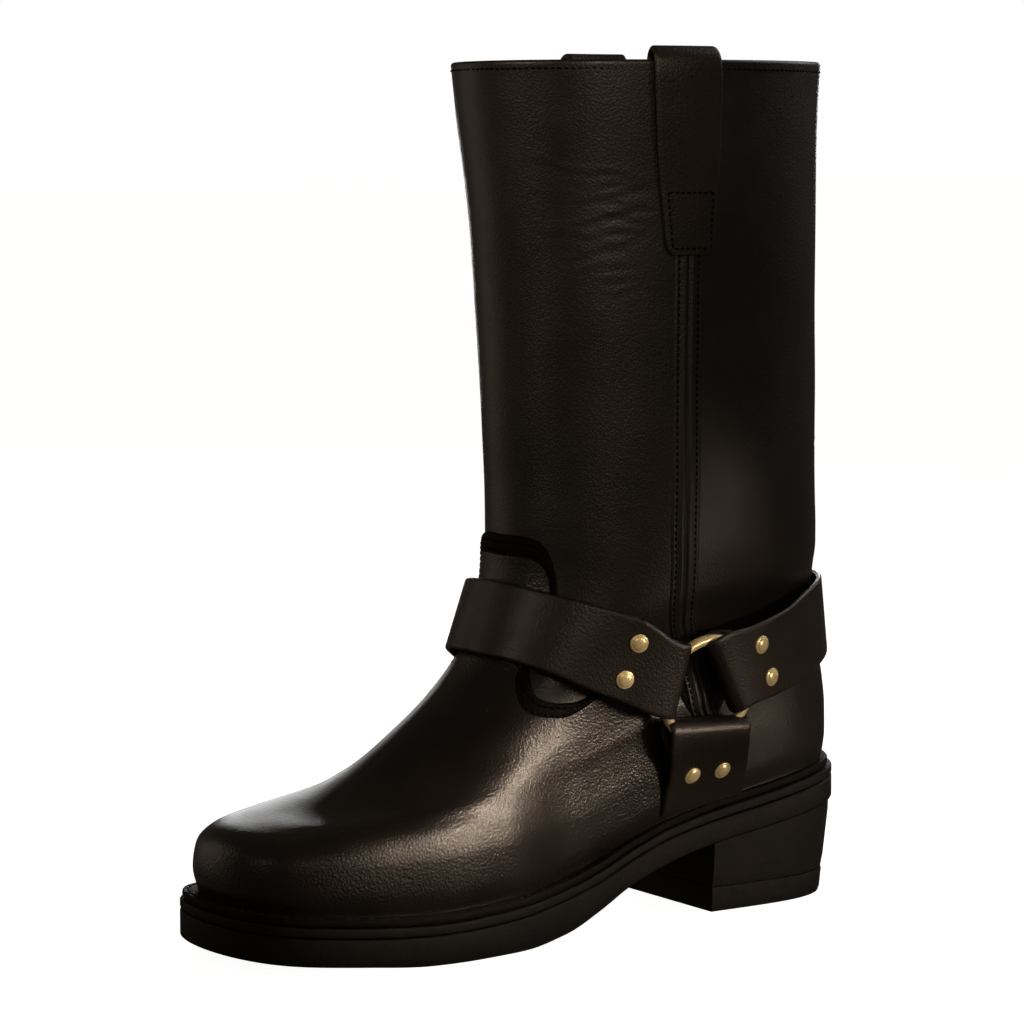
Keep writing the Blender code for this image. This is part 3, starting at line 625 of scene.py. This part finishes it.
def make_vamp(leather, edging_with_painted_shade, thread):
    """Vamp with its tongue, its folded edge, a darker edge band that is partly painted shade, and two rows of
    stitches.
    """
    foot_angle, edge_angle, edge_row, length = vamp_lines()

    def at(inset):
        share = 1 - inset / length
        return foot_angle + (edge_angle - foot_angle) * share, edge_row * share

    shares = np.linspace(1, 0, VAMP_ROWS)
    insets = [VAMP_EDGE_BAND + (length - VAMP_EDGE_BAND) * share for share in shares]
    insets += [np.full_like(length, near) for near in VAMP_NEAR_EDGE]
    rows = [over_upper(*at(inset), vamp_height(inset)) for inset in insets]
    rows.append(over_upper(*at(0.0 * length), np.full_like(length, VAMP_TUCK)))
    first = rows[0].copy()
    first[:, 2] -= FEATHER_DROP
    grid = np.array([first] + rows)
    for end in (0, -1):
        places = [at(length * share) for share in np.linspace(1, 0, len(grid))]
        grid[:, end] = np.array([over_upper(angle[end], row[end], VAMP_TUCK) for angle, row in places])
    faces = grid_faces(*grid.shape[:2])
    # Rows near the edge take the darker leather, partly its black finish and partly painted shade.
    band = np.arange(len(grid) - 1) > VAMP_ROWS + np.argmax(VAMP_NEAR_EDGE < VAMP_DARK_BAND)
    kinds = np.repeat(band.astype(int), grid.shape[1] - 1)
    skins = [leather, edging_with_painted_shade]
    add_piece("vamp_skin", grid.reshape(-1, 3), faces, skins, ("vamp",), kinds, sharp=None)
    lines = []
    for inset in VAMP_STITCHES:
        flat = np.full_like(length, inset)
        angle, row = at(flat)
        path = over_upper(angle, row, vamp_height(flat) + STITCH_RISE)
        lines.append((path[VAMP_STITCHED], upper_normal(angle, row)[VAMP_STITCHED]))
    add_stitches("vamp_stitches", lines, thread, "vamp")


SEAM_STEPS = 110
SEAM_STITCHES = (-4.1, 4.1)
SEAM_STITCH_HEIGHT = 0.5
SEAM_SPREAD = 0.4


def make_side_seam(word, side, leather, thread):
    """Side seam: two turned edges beside a groove, and a row of stitches on each side."""
    heights = np.linspace(SEAM_LINE["height"][0], SEAM_LINE["height"][-1], SEAM_STEPS)
    centre = side * np.radians(smooth(SEAM_LINE["height"], SEAM_LINE[word], heights))
    base = smooth(SEAM_LINE["height"], SEAM_LINE["base"], heights)
    step = turn_per_mm(centre, heights)

    def line(across, high):
        return at_height(centre + side * across * step, heights, base + high * (1 + SEAM_SPREAD * base))

    section = list(zip(*SEAM_PROFILE.values()))
    section += [(-across, high) for across, high in section[-2::-1]]
    grid = np.array([line(*place) for place in section])
    faces = grid_faces(*grid.shape[:2])
    if side > 0:
        faces = faces[:, ::-1]
    name = f"side_seam_{word}"
    add_piece(f"{name}_skin", grid.reshape(-1, 3), faces, [leather], (name,), sharp=None)
    lines = []
    for across in SEAM_STITCHES:
        angle = centre + side * across * step
        lines.append((line(across, SEAM_STITCH_HEIGHT), upper_normal(angle, row_at(angle, heights))))
    add_stitches(f"{name}_stitches", lines, thread, "side_seam")


def pull_rows(word, side, shares, at):
    """Middle surface of a pull strap, at places along its path and shares of its width."""
    strap = between(PULL_STRAP, at)
    height = strap["height"]
    on_shaft = np.minimum(height, UPPER["front_z"][-1])
    centre = np.full_like(at, side * np.radians(PULL_ANGLE[word]))
    step = turn_per_mm(centre, on_shaft)
    columns = []
    for share in shares:
        angle = centre + (share - 0.5) * strap["width"] * step
        level = unit(upper_normal(angle, row_at(angle, on_shaft)) * (1, 1, 0))
        points = at_height(angle, on_shaft, 0.0) + level * strap["lift"][:, None]
        points[:, 2] += height - on_shaft
        columns.append(points)
    return np.stack(columns, 1)


PULL_STEPS = 150
PULL_PATCH = np.array((0.9, 3.0))
PULL_STITCHES = (0.1, 0.9)


def make_pull_strap(word, side, leather, thread):
    """Pull strap over the collar, its lower end sewn down in a patch."""
    at = np.linspace(0, len(PULL_STRAP["height"]) - 1, PULL_STEPS)
    middle = pull_rows(word, side, ACROSS, at)
    name = f"pull_strap_{word}"
    loops = band_loops(middle, PULL_THICK, PULL_WIDTH)
    closed_tube(f"{name}_skin", loops, leather, name)
    edge = pull_rows(word, side, PULL_STITCHES, np.linspace(*PULL_PATCH, 30))
    across = pull_rows(word, side, np.linspace(*PULL_STITCHES, 12), PULL_PATCH)
    outward = unit(edge.mean((0, 1)) * (0, 1, 0))
    lines = []
    for path in (edge[:, 0], edge[:, 1], across[0], across[1]):
        lines.append((path + outward * (PULL_THICK / 2 + 0.05), np.broadcast_to(outward, path.shape)))
    add_stitches(f"{name}_stitches", lines, thread, "pull_strap")


def ring_frame(side):
    """Centre, forward, upward and outward directions of a harness ring, which leans with the ankle."""
    angle = side * np.radians(RING_ANGLE)
    row = row_at(angle, RING_HEIGHT)
    level = unit(upper_normal(angle, row) * (1, 1, 0))
    lean = np.radians(RING_LEAN)
    outward = level * np.cos(lean) - np.array((0, 0, np.sin(lean)))
    upward = level * np.sin(lean) + np.array((0, 0, np.cos(lean)))
    forward = side * np.cross(outward, upward)
    return upper_point(angle, row) + outward * RING_LIFT, forward, upward, outward


def bend(start, start_way, end, end_way, steps):
    """Points between two rows of points on curves that leave and arrive in the given directions."""
    size = np.linalg.norm(end - start, axis=-1, keepdims=True)
    return [
        start * (1 + 2 * t) * (1 - t) ** 2
        + end * t * t * (3 - 2 * t)
        + start_way * size * t * (1 - t) ** 2
        - end_way * size * t * t * (1 - t)
        for t in np.arange(1, steps + 1) / (steps + 1)
    ]


def strap_run(stations, side, at, shares=ACROSS):
    """Rows of points across a strap as it lies on the upper, at places counted in stations."""
    strap = between(stations, at)
    low = at_height(side * np.radians(strap["low_angle"]), strap["low"], strap["lift"])
    high = at_height(side * np.radians(strap["high_angle"]), strap["high"], strap["lift"])
    return [a + (b - a) * shares[:, None] for a, b in zip(low, high)]


RUN_STEPS = 44
BEND_ROWS = 9
FOLD_ROWS = 17
TAIL_LENGTH = 0.45
TAIL_WIDTH = 0.78
TAIL_STEPS = 6
RIVET_SIDES = 32
WIRE_SIDES = 20
RING_STEPS = 120


def fold_line(side, first, last):
    """Middle line of a strap's fold, a straight chord of the ring, and the way out from the ring's centre."""
    centre, forward, upward, _ = ring_frame(side)
    ends = []
    for turn, reach in (first, last):
        turn = np.radians(turn)
        ends.append(centre + (forward * np.cos(turn) + upward * np.sin(turn)) * reach)
    low, high = ends
    chord = unit(high - low)
    middle = (low + high) / 2 - centre
    way = unit(middle - chord * (middle @ chord))
    return low + (high - low) * ACROSS[:, None] + way * (FOLD_RADIUS + STRAP_THICK / 2), way


def half_strap(stations, side, ends):
    """Rows of points from a strap's middle, or its lower end, round the ring to its tail."""
    last = len(stations["low_angle"]) - 1.0
    run = strap_run(stations, side, np.linspace(0, last, RUN_STEPS))
    under = stations | {"lift": stations["lift"] - STRAP_THICK - GAP}
    shares = 0.5 + (ACROSS - 0.5) * TAIL_WIDTH
    tail = strap_run(under, side, np.linspace(last, last - TAIL_LENGTH, TAIL_STEPS), shares)
    line, way = fold_line(side, *ends)
    outward = ring_frame(side)[3]
    turns = np.linspace(0, np.pi, FOLD_ROWS)
    fold = [line + FOLD_RADIUS * (outward * np.cos(turn) - way * np.sin(turn)) for turn in turns]
    leave_way = unit(unit(run[-1] - run[-2]) + unit(fold[0] - run[-1]))
    arrive = bend(run[-1], leave_way, fold[0], -way + 0 * line, BEND_ROWS)
    leave = bend(fold[-1], way + 0 * line, tail[0], unit(tail[1] - tail[0]), BEND_ROWS)
    return run + arrive + fold + leave + tail


def make_rivets(place, word, rows, side, brass):
    """A pair of turned rivets at the end of a strap's run."""
    grid = np.array(rows)
    normals = grid_normals(grid)[RUN_STEPS - 1]
    outward = ring_frame(side)[3]
    around = full_turn(RIVET_SIDES)[:, None]
    for number, share in enumerate(RIVET_SHARES[place], 1):
        base = interpolate(share, ACROSS, grid[RUN_STEPS - 1])
        axis = unit(interpolate(share, ACROSS, normals))
        axis = axis * np.sign(axis @ outward)
        first = unit(np.cross(axis, (0, 0, 1)))
        second = np.cross(axis, first)
        circle = first * np.cos(around) + second * np.sin(around)
        seat = base + axis * (STRAP_THICK / 2)
        loops = [seat + axis * high + circle * radius for radius, high in zip(*RIVET_PROFILE.values())]
        name = f"rivet_{place}_{word}_{number}"
        closed_tube(f"{name}_turned", loops, brass, name, sharp=55.0)


def make_ring(word, side, brass):
    """Harness ring of round wire."""
    centre, forward, upward, outward = ring_frame(side)
    around = full_turn(WIRE_SIDES)[:, None]
    loops = []
    for turn in full_turn(RING_STEPS):
        spoke = forward * np.cos(turn) + upward * np.sin(turn)
        wire = spoke * np.cos(around) + outward * np.sin(around)
        loops.append(centre + spoke * RING_RADIUS + wire * WIRE_RADIUS)
    name = f"ring_{word}"
    closed_tube(f"{name}_wire", loops, brass, name, ring=True, sharp=None)


def make_harness(leather, brass):
    """Straps folded round the rings, and their rivets."""
    halves = {}
    for side, word in SIDES:
        make_ring(word, side, brass)
        for place, stations, ends in (
            ("front", FRONT_STRAP, FRONT_FOLD),
            ("back", BACK_STRAP, BACK_FOLD),
            ("bottom", BOTTOM_STRAP, BOTTOM_FOLD),
        ):
            rows = half_strap(stations, side, ends)
            halves[place, side] = rows
            make_rivets(place, word, rows, side, brass)
        loops = band_loops(np.array(halves["bottom", side]), STRAP_THICK, STRAP_WIDTH)
        closed_tube(f"bottom_strap_{word}_skin", loops, leather, f"bottom_strap_{word}")
    for place in ("front", "back"):
        rows = halves[place, -1][:0:-1] + halves[place, 1]
        loops = band_loops(np.array(rows), STRAP_THICK, STRAP_WIDTH)
        closed_tube(f"{place}_strap_skin", loops, leather, f"{place}_strap")


EDGE_POINTS = 110


def sole_loop(inset, back_inset, height, front_station=None):
    """Loop round the sole's plan at a height, along its lateral edge and back along the medial one."""
    front = SOLE_LENGTH - inset
    first = 0.0
    if front_station is not None:
        first = np.arccos(2 * (front_station - back_inset) / (front - back_inset) - 1)
    c = np.cos(np.linspace(first, np.pi, EDGE_POINTS + 1))
    x = back_inset + (front - back_inset) * (1 + c) / 2
    close = closing(c, TOE_POWER, HEEL_POWER)
    lateral, medial = (side * (plan_half_width(x, side) - inset) * close for side in (1, -1))
    z = height(x)
    return np.concatenate([np.stack([x, lateral, z], -1), np.stack([x, medial, z], -1)[::-1]])


def add_slab(name, loops, material, node):
    """A plate from loops of the sole's edge, lowest first, with flat caps."""
    loops = np.array(loops)
    count, around = loops.shape[:2]
    faces = tube_faces(count, around)[:-2]
    top = (count - 1) * around
    for i in range(around // 2 - 1):
        strip = (i, i + 1, around - 2 - i, around - 1 - i)
        faces.append([top + k for k in strip])
        faces.append(list(strip[::-1]))
    points = loops.reshape(-1, 3)
    add_piece(name, points, turned_out(points, faces), [material], (node,), sharp=50.0)


EDGE_ROUND = table("inset rise", (1.1, 0.0), (0.55, 0.15), (0.2, 0.45), (0.0, 1.0))
OUTSOLE_ROUND, MIDSOLE_ROUND = 0.9, 0.7


def make_sole(rubber):
    """Outsole and midsole with rounded edges, heel block and top lift."""
    def parting(x):
        return sole_top(x) - MIDSOLE_THICK

    def plate(name, node, low, high, scale):
        rounds = list(zip(*EDGE_ROUND.values()))
        loops = []
        for base, sign, order in ((low, 1, rounds), (high, -1, rounds[::-1])):
            for inset, rise in order:
                edge, lift = inset * scale, sign * (rise * scale)
                loops.append(sole_loop(edge, edge, lambda x: base(x) + lift))
        add_slab(name, loops, rubber, node)

    plate("outsole_edge", "outsole", sole_tread, lambda x: parting(x) - GAP, OUTSOLE_ROUND)
    plate("midsole_edge", "midsole", parting, sole_top, MIDSOLE_ROUND)

    def heel(name, node, low_share, high_share, low, high):
        loops = []
        for at in np.linspace(0, 1, HEEL_LEVELS):
            share = low_share + (high_share - low_share) * at
            rounding = HEEL_ROUNDING * max(0.0, 1 - min(at, 1 - at) * HEEL_ROUND_SHARE)
            side = HEEL_INSET + HEEL_SIDE_TAPER * share + rounding
            back = HEEL_INSET + HEEL_BACK_TAPER * share + rounding
            loops.append(sole_loop(side, back, lambda x: low(x) + (high(x) - low(x)) * at, BREAST))
        add_slab(name, loops, rubber, node)

    def seam_top(x):
        return 0 * x + LIFT_THICK + GAP

    def seam_bottom(x):
        return 0 * x + LIFT_THICK

    heel("heel_stack", "heel_block", LIFT_TOP_SHARE, 0.0, seam_top, lambda x: sole_tread(x) - GAP)
    heel("heel_lift", "heel_top_lift", 1.0, LIFT_TOP_SHARE, lambda x: 0 * x, seam_bottom)


WELT_GROOVE = 2.2
WELT_STITCH_RISE = 0.2
WELT_STEPS, RAND_STEPS = 320, 200


def edge_angle(station):
    """Angle round the sole's plan at a station."""
    return np.arccos(2 * station / SOLE_LENGTH - 1)


def welt_loops(angles, inset):
    """Sections of the welt: a rounded edge, a stitch groove and a flat that runs in under the upper."""
    c = np.cos(angles)
    side = np.where(np.sin(angles) >= 0, 1.0, -1.0)
    x = inset + (SOLE_LENGTH - 2 * inset) * (1 + c) / 2
    width = plan_half_width(x, side) - inset
    edge = np.stack([x, side * width * closing(c, TOE_POWER, HEEL_POWER)], -1)
    inner = over_upper(angles, 0.0 * angles, np.full_like(angles, -WALL))[:, :2]
    way = unit(inner - edge)
    loops = []
    for step, high in zip(*WELT_PROFILE.values()):
        plan = edge + way * step
        loops.append(np.concatenate([plan, (sole_top(plan[:, 0]) + GAP + high)[:, None]], -1))
    for high in (WELT_THICK, 0.0):
        loops.append(np.concatenate([inner, (sole_top(inner[:, 0]) + GAP + high)[:, None]], -1))
    return np.stack(loops, 1)


def make_welt(leather, thread):
    """Welt with its stitches, and the rand round the heel seat."""
    end = edge_angle(WELT_END)
    angles = np.linspace(-end, end, WELT_STEPS)
    loops = welt_loops(angles, WELT_INSET)
    closed_tube("welt_strip", loops, leather, "welt")
    groove = int(np.argmin(np.abs(WELT_PROFILE["inset"] - WELT_GROOVE)))
    path = loops[:, groove] + (0, 0, WELT_STITCH_RISE)
    normal = np.broadcast_to(np.array((0.0, 0.0, 1.0)), path.shape)
    add_stitches("welt_stitches", [(path, normal)], thread, "welt")
    back = edge_angle(WELT_END - 2 * GAP)
    loops = welt_loops(np.linspace(back, 2 * np.pi - back, RAND_STEPS), WELT_INSET + RAND_STEP)
    closed_tube("heel_rand_strip", loops, leather, "heel_rand")


COLLAR_STITCHES = 327.0
COLLAR_STEPS = 400
COLLAR_STITCH_RISE = 0.02


def make_collar_stitches(thread):
    """One row of stitches under the collar's rim."""
    angles = np.linspace(0, 2 * np.pi, COLLAR_STEPS)
    heights = np.full_like(angles, COLLAR_STITCHES)
    path = at_height(angles, heights, COLLAR_STITCH_RISE)
    normal = upper_normal(angles, row_at(angles, heights))
    add_stitches("collar_stitches", [(path, normal)], thread, "collar")


def set_inputs(node, **values):
    """Values of a node's sockets, called by name with _ for a space."""
    for name, value in values.items():
        node.inputs[name.replace("_", " ")].default_value = value


def new_material(name, colour, roughness, **values):
    """A material with its nodes and its Principled shader."""
    material = bpy.data.materials.new(name)
    material.use_nodes = True
    tree = material.node_tree
    shader = tree.nodes["Principled BSDF"]
    set_inputs(shader, Base_Color=(*colour, 1.0), Roughness=roughness, **values)
    return material, tree, shader


def texture(tree, scale, kind="Noise", **values):
    """A texture node on object coordinates."""
    node = tree.nodes.new("ShaderNodeTex" + kind)
    set_inputs(node, Scale=scale, **values)
    where = tree.nodes.new("ShaderNodeTexCoord")
    tree.links.new(where.outputs["Object"], node.inputs["Vector"])
    return node


def vary(tree, socket, noise, *stops):
    """A socket that follows a noise through a ramp with two (place, colour or grey) stops."""
    node = tree.nodes.new("ShaderNodeValToRGB")
    for point, (place, colour) in zip(node.color_ramp.elements, stops):
        point.position = place
        point.color = (*colour, 1.0) if np.ndim(colour) else (colour, colour, colour, 1.0)
    tree.links.new(noise.outputs["Fac"], node.inputs["Fac"])
    tree.links.new(node.outputs["Color"], socket)


def math_node(tree, kind, first, second):
    """A node that adds or multiplies two values or outputs."""
    node = tree.nodes.new("ShaderNodeMath")
    node.operation = kind
    for socket, value in zip(node.inputs, (first, second)):
        if isinstance(value, float):
            socket.default_value = value
        else:
            tree.links.new(value, socket)
    return node.outputs["Value"]


def add_bump(tree, shader, height, strength, distance):
    """Bumps of a shader from a height."""
    bump = tree.nodes.new("ShaderNodeBump")
    set_inputs(bump, Strength=strength, Distance=distance)
    tree.links.new(height, bump.inputs["Height"])
    tree.links.new(bump.outputs["Normal"], shader.inputs["Normal"])


# Darker and lighter colour, roughness, strength of the grain, coat and gloss of each leather
LEATHERS = {
    "upper_black": ((0.0064, 0.0048, 0.0038), (0.0135, 0.0101, 0.0080), 0.38, 0.5, 0.15, 0.5),
    "vamp_black": ((0.0060, 0.0043, 0.0032), (0.0125, 0.0090, 0.0068), 0.33, 0.8, 0.15, 0.5),
    "strap_black": ((0.0100, 0.0076, 0.0060), (0.0205, 0.0155, 0.0122), 0.40, 0.7, 0.1, 0.4),
    # The edge leather is darkened partly for the black edge finish and partly as painted shade of the vamp's
    # fold and stitches.
    "edge_black_with_painted_shade": ((0.0020, 0.0015, 0.0011), (0.0046, 0.0033, 0.0025), 0.62, 1.0, 0.0, 0.08),
    "lining_brown": ((0.050, 0.034, 0.024), (0.075, 0.052, 0.036), 0.65, 0.8, 0.0, 0.5),
    "insole_brown": ((0.13, 0.085, 0.05), (0.19, 0.125, 0.08), 0.65, 0.8, 0.0, 0.5),
    "welt_brown": ((0.0055, 0.0038, 0.0027), (0.0100, 0.0069, 0.0048), 0.66, 1.2, 0.0, 0.12),
}
COAT_ROUGHNESS = 0.28
PEBBLES, PORES, WRINKLES = 0.9, 0.6, 0.25


def leather(name, dark, light, roughness, grain, coat, gloss):
    """Smooth leather: broad colour drift, pebbled grain and fine pores."""
    material, tree, shader = new_material(
        name, dark, roughness, Specular_IOR_Level=gloss, Coat_Weight=coat, Coat_Roughness=COAT_ROUGHNESS)
    drift = texture(tree, 28.0, Detail=4.0, Roughness=0.6)
    vary(tree, shader.inputs["Base Color"], drift, (0.35, dark), (0.7, light))
    patch = texture(tree, 60.0, Detail=3.0, Roughness=0.55)
    vary(tree, shader.inputs["Roughness"], patch, (0.3, roughness - 0.03), (0.72, roughness + 0.06))
    pebble = texture(tree, 1150.0, "Voronoi")
    pebble.feature = "SMOOTH_F1"
    fine = texture(tree, 1300.0, Detail=1.0)
    wrinkle = texture(tree, 260.0, Detail=5.0, Roughness=0.62)
    pebbles = math_node(tree, "MULTIPLY", pebble.outputs["Distance"], PEBBLES)
    pores = math_node(tree, "MULTIPLY", fine.outputs["Fac"], PORES)
    wrinkles = math_node(tree, "MULTIPLY", wrinkle.outputs["Fac"], WRINKLES)
    height = math_node(tree, "ADD", math_node(tree, "ADD", pebbles, pores), wrinkles)
    add_bump(tree, shader, height, 0.4 * grain, 0.0006)
    return material


def rubber(name, dark, light, roughness):
    """Moulded rubber: dull, a little cloudy and finely rough."""
    material, tree, shader = new_material(name, dark, roughness, Specular_IOR_Level=0.28)
    cloud = texture(tree, 90.0, Detail=6.0, Roughness=0.7)
    vary(tree, shader.inputs["Base Color"], cloud, (0.35, dark), (0.75, light))
    fine = texture(tree, 1400.0, Detail=3.0)
    vary(tree, shader.inputs["Roughness"], fine, (0.3, roughness - 0.1), (0.7, roughness + 0.1))
    add_bump(tree, shader, math_node(tree, "ADD", fine.outputs["Fac"], cloud.outputs["Fac"]), 0.25, 0.0005)
    return material


def thread(name, dark, light):
    """Waxed thread with a twist."""
    material, tree, shader = new_material(name, dark, 0.75, Specular_IOR_Level=0.08)
    twist = texture(tree, 1800.0, Detail=2.0)
    vary(tree, shader.inputs["Base Color"], twist, (0.35, dark), (0.7, light))
    return material


def brass(name):
    """Satin brass with fine scuffs."""
    material, tree, shader = new_material(name, (1.0, 0.90, 0.58), 0.33, Metallic=0.45)
    cloud = texture(tree, 160.0, Detail=4.0)
    vary(tree, shader.inputs["Base Color"], cloud, (0.3, (0.98, 0.80, 0.40)), (0.7, (1.0, 0.88, 0.52)))
    scuff = texture(tree, 900.0, Detail=4.0)
    vary(tree, shader.inputs["Roughness"], scuff, (0.35, 0.28), (0.75, 0.42))
    return material


def add_area(name, azimuth, elevation, distance, size, power, target, spread, colour):
    """A soft box that faces a target from an azimuth, an elevation and a distance."""
    around, up = np.radians((azimuth, elevation))
    way = Vector((np.cos(around) * np.cos(up), np.sin(around) * np.cos(up), np.sin(up)))
    data = bpy.data.lights.new(name, "AREA")
    data.shape = "RECTANGLE"
    data.size, data.size_y = size
    data.spread = np.radians(spread)
    data.energy = power
    data.color = colour
    light = add_object(name, data)
    light.location = Vector(target) + way * distance
    light.rotation_euler = (-way).to_track_quat("-Z", "Y").to_euler()
    light.visible_camera = False


# Azimuth, elevation, power and target of each lamp in the strip along the vamp
STRIP = (
    (100, 5, 0.0014, 0.088, 0.046, 0.039),
    (108, 23, 0.0028, 0.073, 0.047, 0.044),
    (121, 24, 0.0054, 0.058, 0.047, 0.047),
    (129, 26, 0.0052, 0.040, 0.044, 0.056),
    (131, 15, 0.0046, 0.024, 0.040, 0.064),
    (127, 5, 0.0036, 0.009, 0.037, 0.074),
)
STRIP_DISTANCE = 0.6
STRIP_SIZE = (0.09, 0.07)
STRIP_SPREAD = 8
WARM, WHITE = (1.0, 0.79, 0.60), (1.0, 1.0, 1.0)
SHAFT, TOE, MIDDLE = (0.0, 0.03, 0.325), (0.05, 0.0, 0.07), (0.0, 0.0, 0.14)
# Azimuth, elevation, distance, size, power, target, spread and colour of the other lamps
LAMPS = {
    "glint": (112, 4, 0.6, (0.34, 0.06), 0.005, (-0.055, 0.055, 0.085), 18, WARM),
    "shaft_front": (60, 15, 1.0, (0.3, 0.3), 0.088, SHAFT, 30, WARM),
    "shaft_side": (90, 15, 1.0, (0.3, 0.3), 0.027, SHAFT, 30, WARM),
    "shaft_toe": (0, 15, 1.0, (0.3, 0.3), 0.084, SHAFT, 30, WARM),
    "heel": (120, 3, 0.8, (0.2, 0.2), 0.046, (-0.09, 0.03, 0.02), 14, WARM),
    "backdrop": (-118, 5, 1.5, (0.35, 0.18), 0.17, TOE, 60, WHITE),
    "backdrop_side": (-136, 12, 1.5, (0.35, 0.18), 0.35, TOE, 60, WHITE),
    "medial": (-60, 8, 1.3, (0.8, 0.8), 0.62, MIDDLE, 180, WARM),
    "rear": (180, 35, 1.3, (0.8, 0.8), 3.4, MIDDLE, 180, WHITE),
}
ROOM_COLOUR = (1.0, 0.80, 0.62, 1.0)
ROOM_STRENGTH = 0.04
FLOOR_REACH = 30
FLOOR_GLOW = 0.97

# Camera fitted to the outline of the photograph
CAMERA_SWING = 33.5
CAMERA_TILT = 5.663
CAMERA_PLACE = (0.764, 1.145, 0.295)
CAMERA_LENS = 126.56


def add_camera():
    """Camera that takes the photograph's view."""
    data = bpy.data.cameras.new("camera")
    data.lens = CAMERA_LENS
    data.sensor_width = 36.0
    camera = add_object("camera", data)
    swing, tilt = np.radians((CAMERA_SWING, CAMERA_TILT))
    look = Vector((-np.sin(swing) * np.cos(tilt), -np.cos(swing) * np.cos(tilt), -np.sin(tilt)))
    camera.location = CAMERA_PLACE
    camera.rotation_euler = look.to_track_quat("-Z", "Y").to_euler()
    bpy.context.scene.camera = camera


def add_world():
    """White surroundings for the camera, and a dim room for the light on the boot."""
    world = bpy.data.worlds.new("studio")
    world.use_nodes = True
    tree = world.node_tree
    seen = tree.nodes["Background"]
    set_inputs(seen, Color=(*WHITE, 1.0))
    room = tree.nodes.new("ShaderNodeBackground")
    set_inputs(room, Color=ROOM_COLOUR, Strength=ROOM_STRENGTH)
    path = tree.nodes.new("ShaderNodeLightPath")
    mix = tree.nodes.new("ShaderNodeMixShader")
    tree.links.new(path.outputs["Is Camera Ray"], mix.inputs["Fac"])
    tree.links.new(room.outputs["Background"], mix.inputs[1])
    tree.links.new(seen.outputs["Background"], mix.inputs[2])
    tree.links.new(mix.outputs["Shader"], tree.nodes["World Output"].inputs["Surface"])
    bpy.context.scene.world = world


def add_stage():
    """Pale light table under the boot, soft boxes and their surroundings."""
    mesh = bpy.data.meshes.new("floor")
    corners = [(FLOOR_REACH * x, FLOOR_REACH * y, 0) for x, y in ((-1, -1), (1, -1), (1, 1), (-1, 1))]
    mesh.from_pydata(corners, [], [(0, 1, 2, 3)])
    floor = add_object("floor", mesh)
    material, tree, shader = new_material(
        "floor_white", (0.80, 0.80, 0.80), 0.9, Emission_Color=(*WHITE, 1.0), Emission_Strength=FLOOR_GLOW)
    vary(tree, shader.inputs["Base Color"], texture(tree, 3.0), (0.0, 0.79), (1.0, 0.81))
    mesh.materials.append(material)
    floor.visible_glossy = False
    floor.visible_diffuse = False
    add_world()
    for part, (around, up, power, *target) in enumerate(STRIP):
        add_area(f"strip_{part}", around, up, STRIP_DISTANCE, STRIP_SIZE, power, target, STRIP_SPREAD, WARM)
    for name, lamp in LAMPS.items():
        add_area(name, *lamp)
    bpy.context.scene.view_settings.view_transform = "Standard"


def main():
    """The whole boot and its stage."""
    skins = {name: leather(name, *values) for name, values in LEATHERS.items()}
    sole_rubber = rubber("sole_black", (0.0042, 0.0035, 0.0030), (0.0105, 0.0089, 0.0075), 0.7)
    black_thread = thread("thread_black", (0.0012, 0.0010, 0.0008), (0.0035, 0.0028, 0.0022))
    welt_thread = thread("thread_brown", (0.022, 0.016, 0.012), (0.045, 0.034, 0.025))
    metal = brass("brass_polished")
    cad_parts["insole"].data.materials.clear()
    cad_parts["insole"].data.materials.append(skins["insole_brown"])
    make_sole(sole_rubber)
    make_welt(skins["welt_brown"], welt_thread)
    make_upper(skins["upper_black"], skins["lining_brown"])
    make_vamp(skins["vamp_black"], skins["edge_black_with_painted_shade"], black_thread)
    make_collar_stitches(black_thread)
    for side, word in SIDES:
        make_side_seam(word, side, skins["upper_black"], black_thread)
        make_pull_strap(word, side, skins["strap_black"], black_thread)
    make_harness(skins["strap_black"], metal)
    add_camera()
    add_stage()


main()
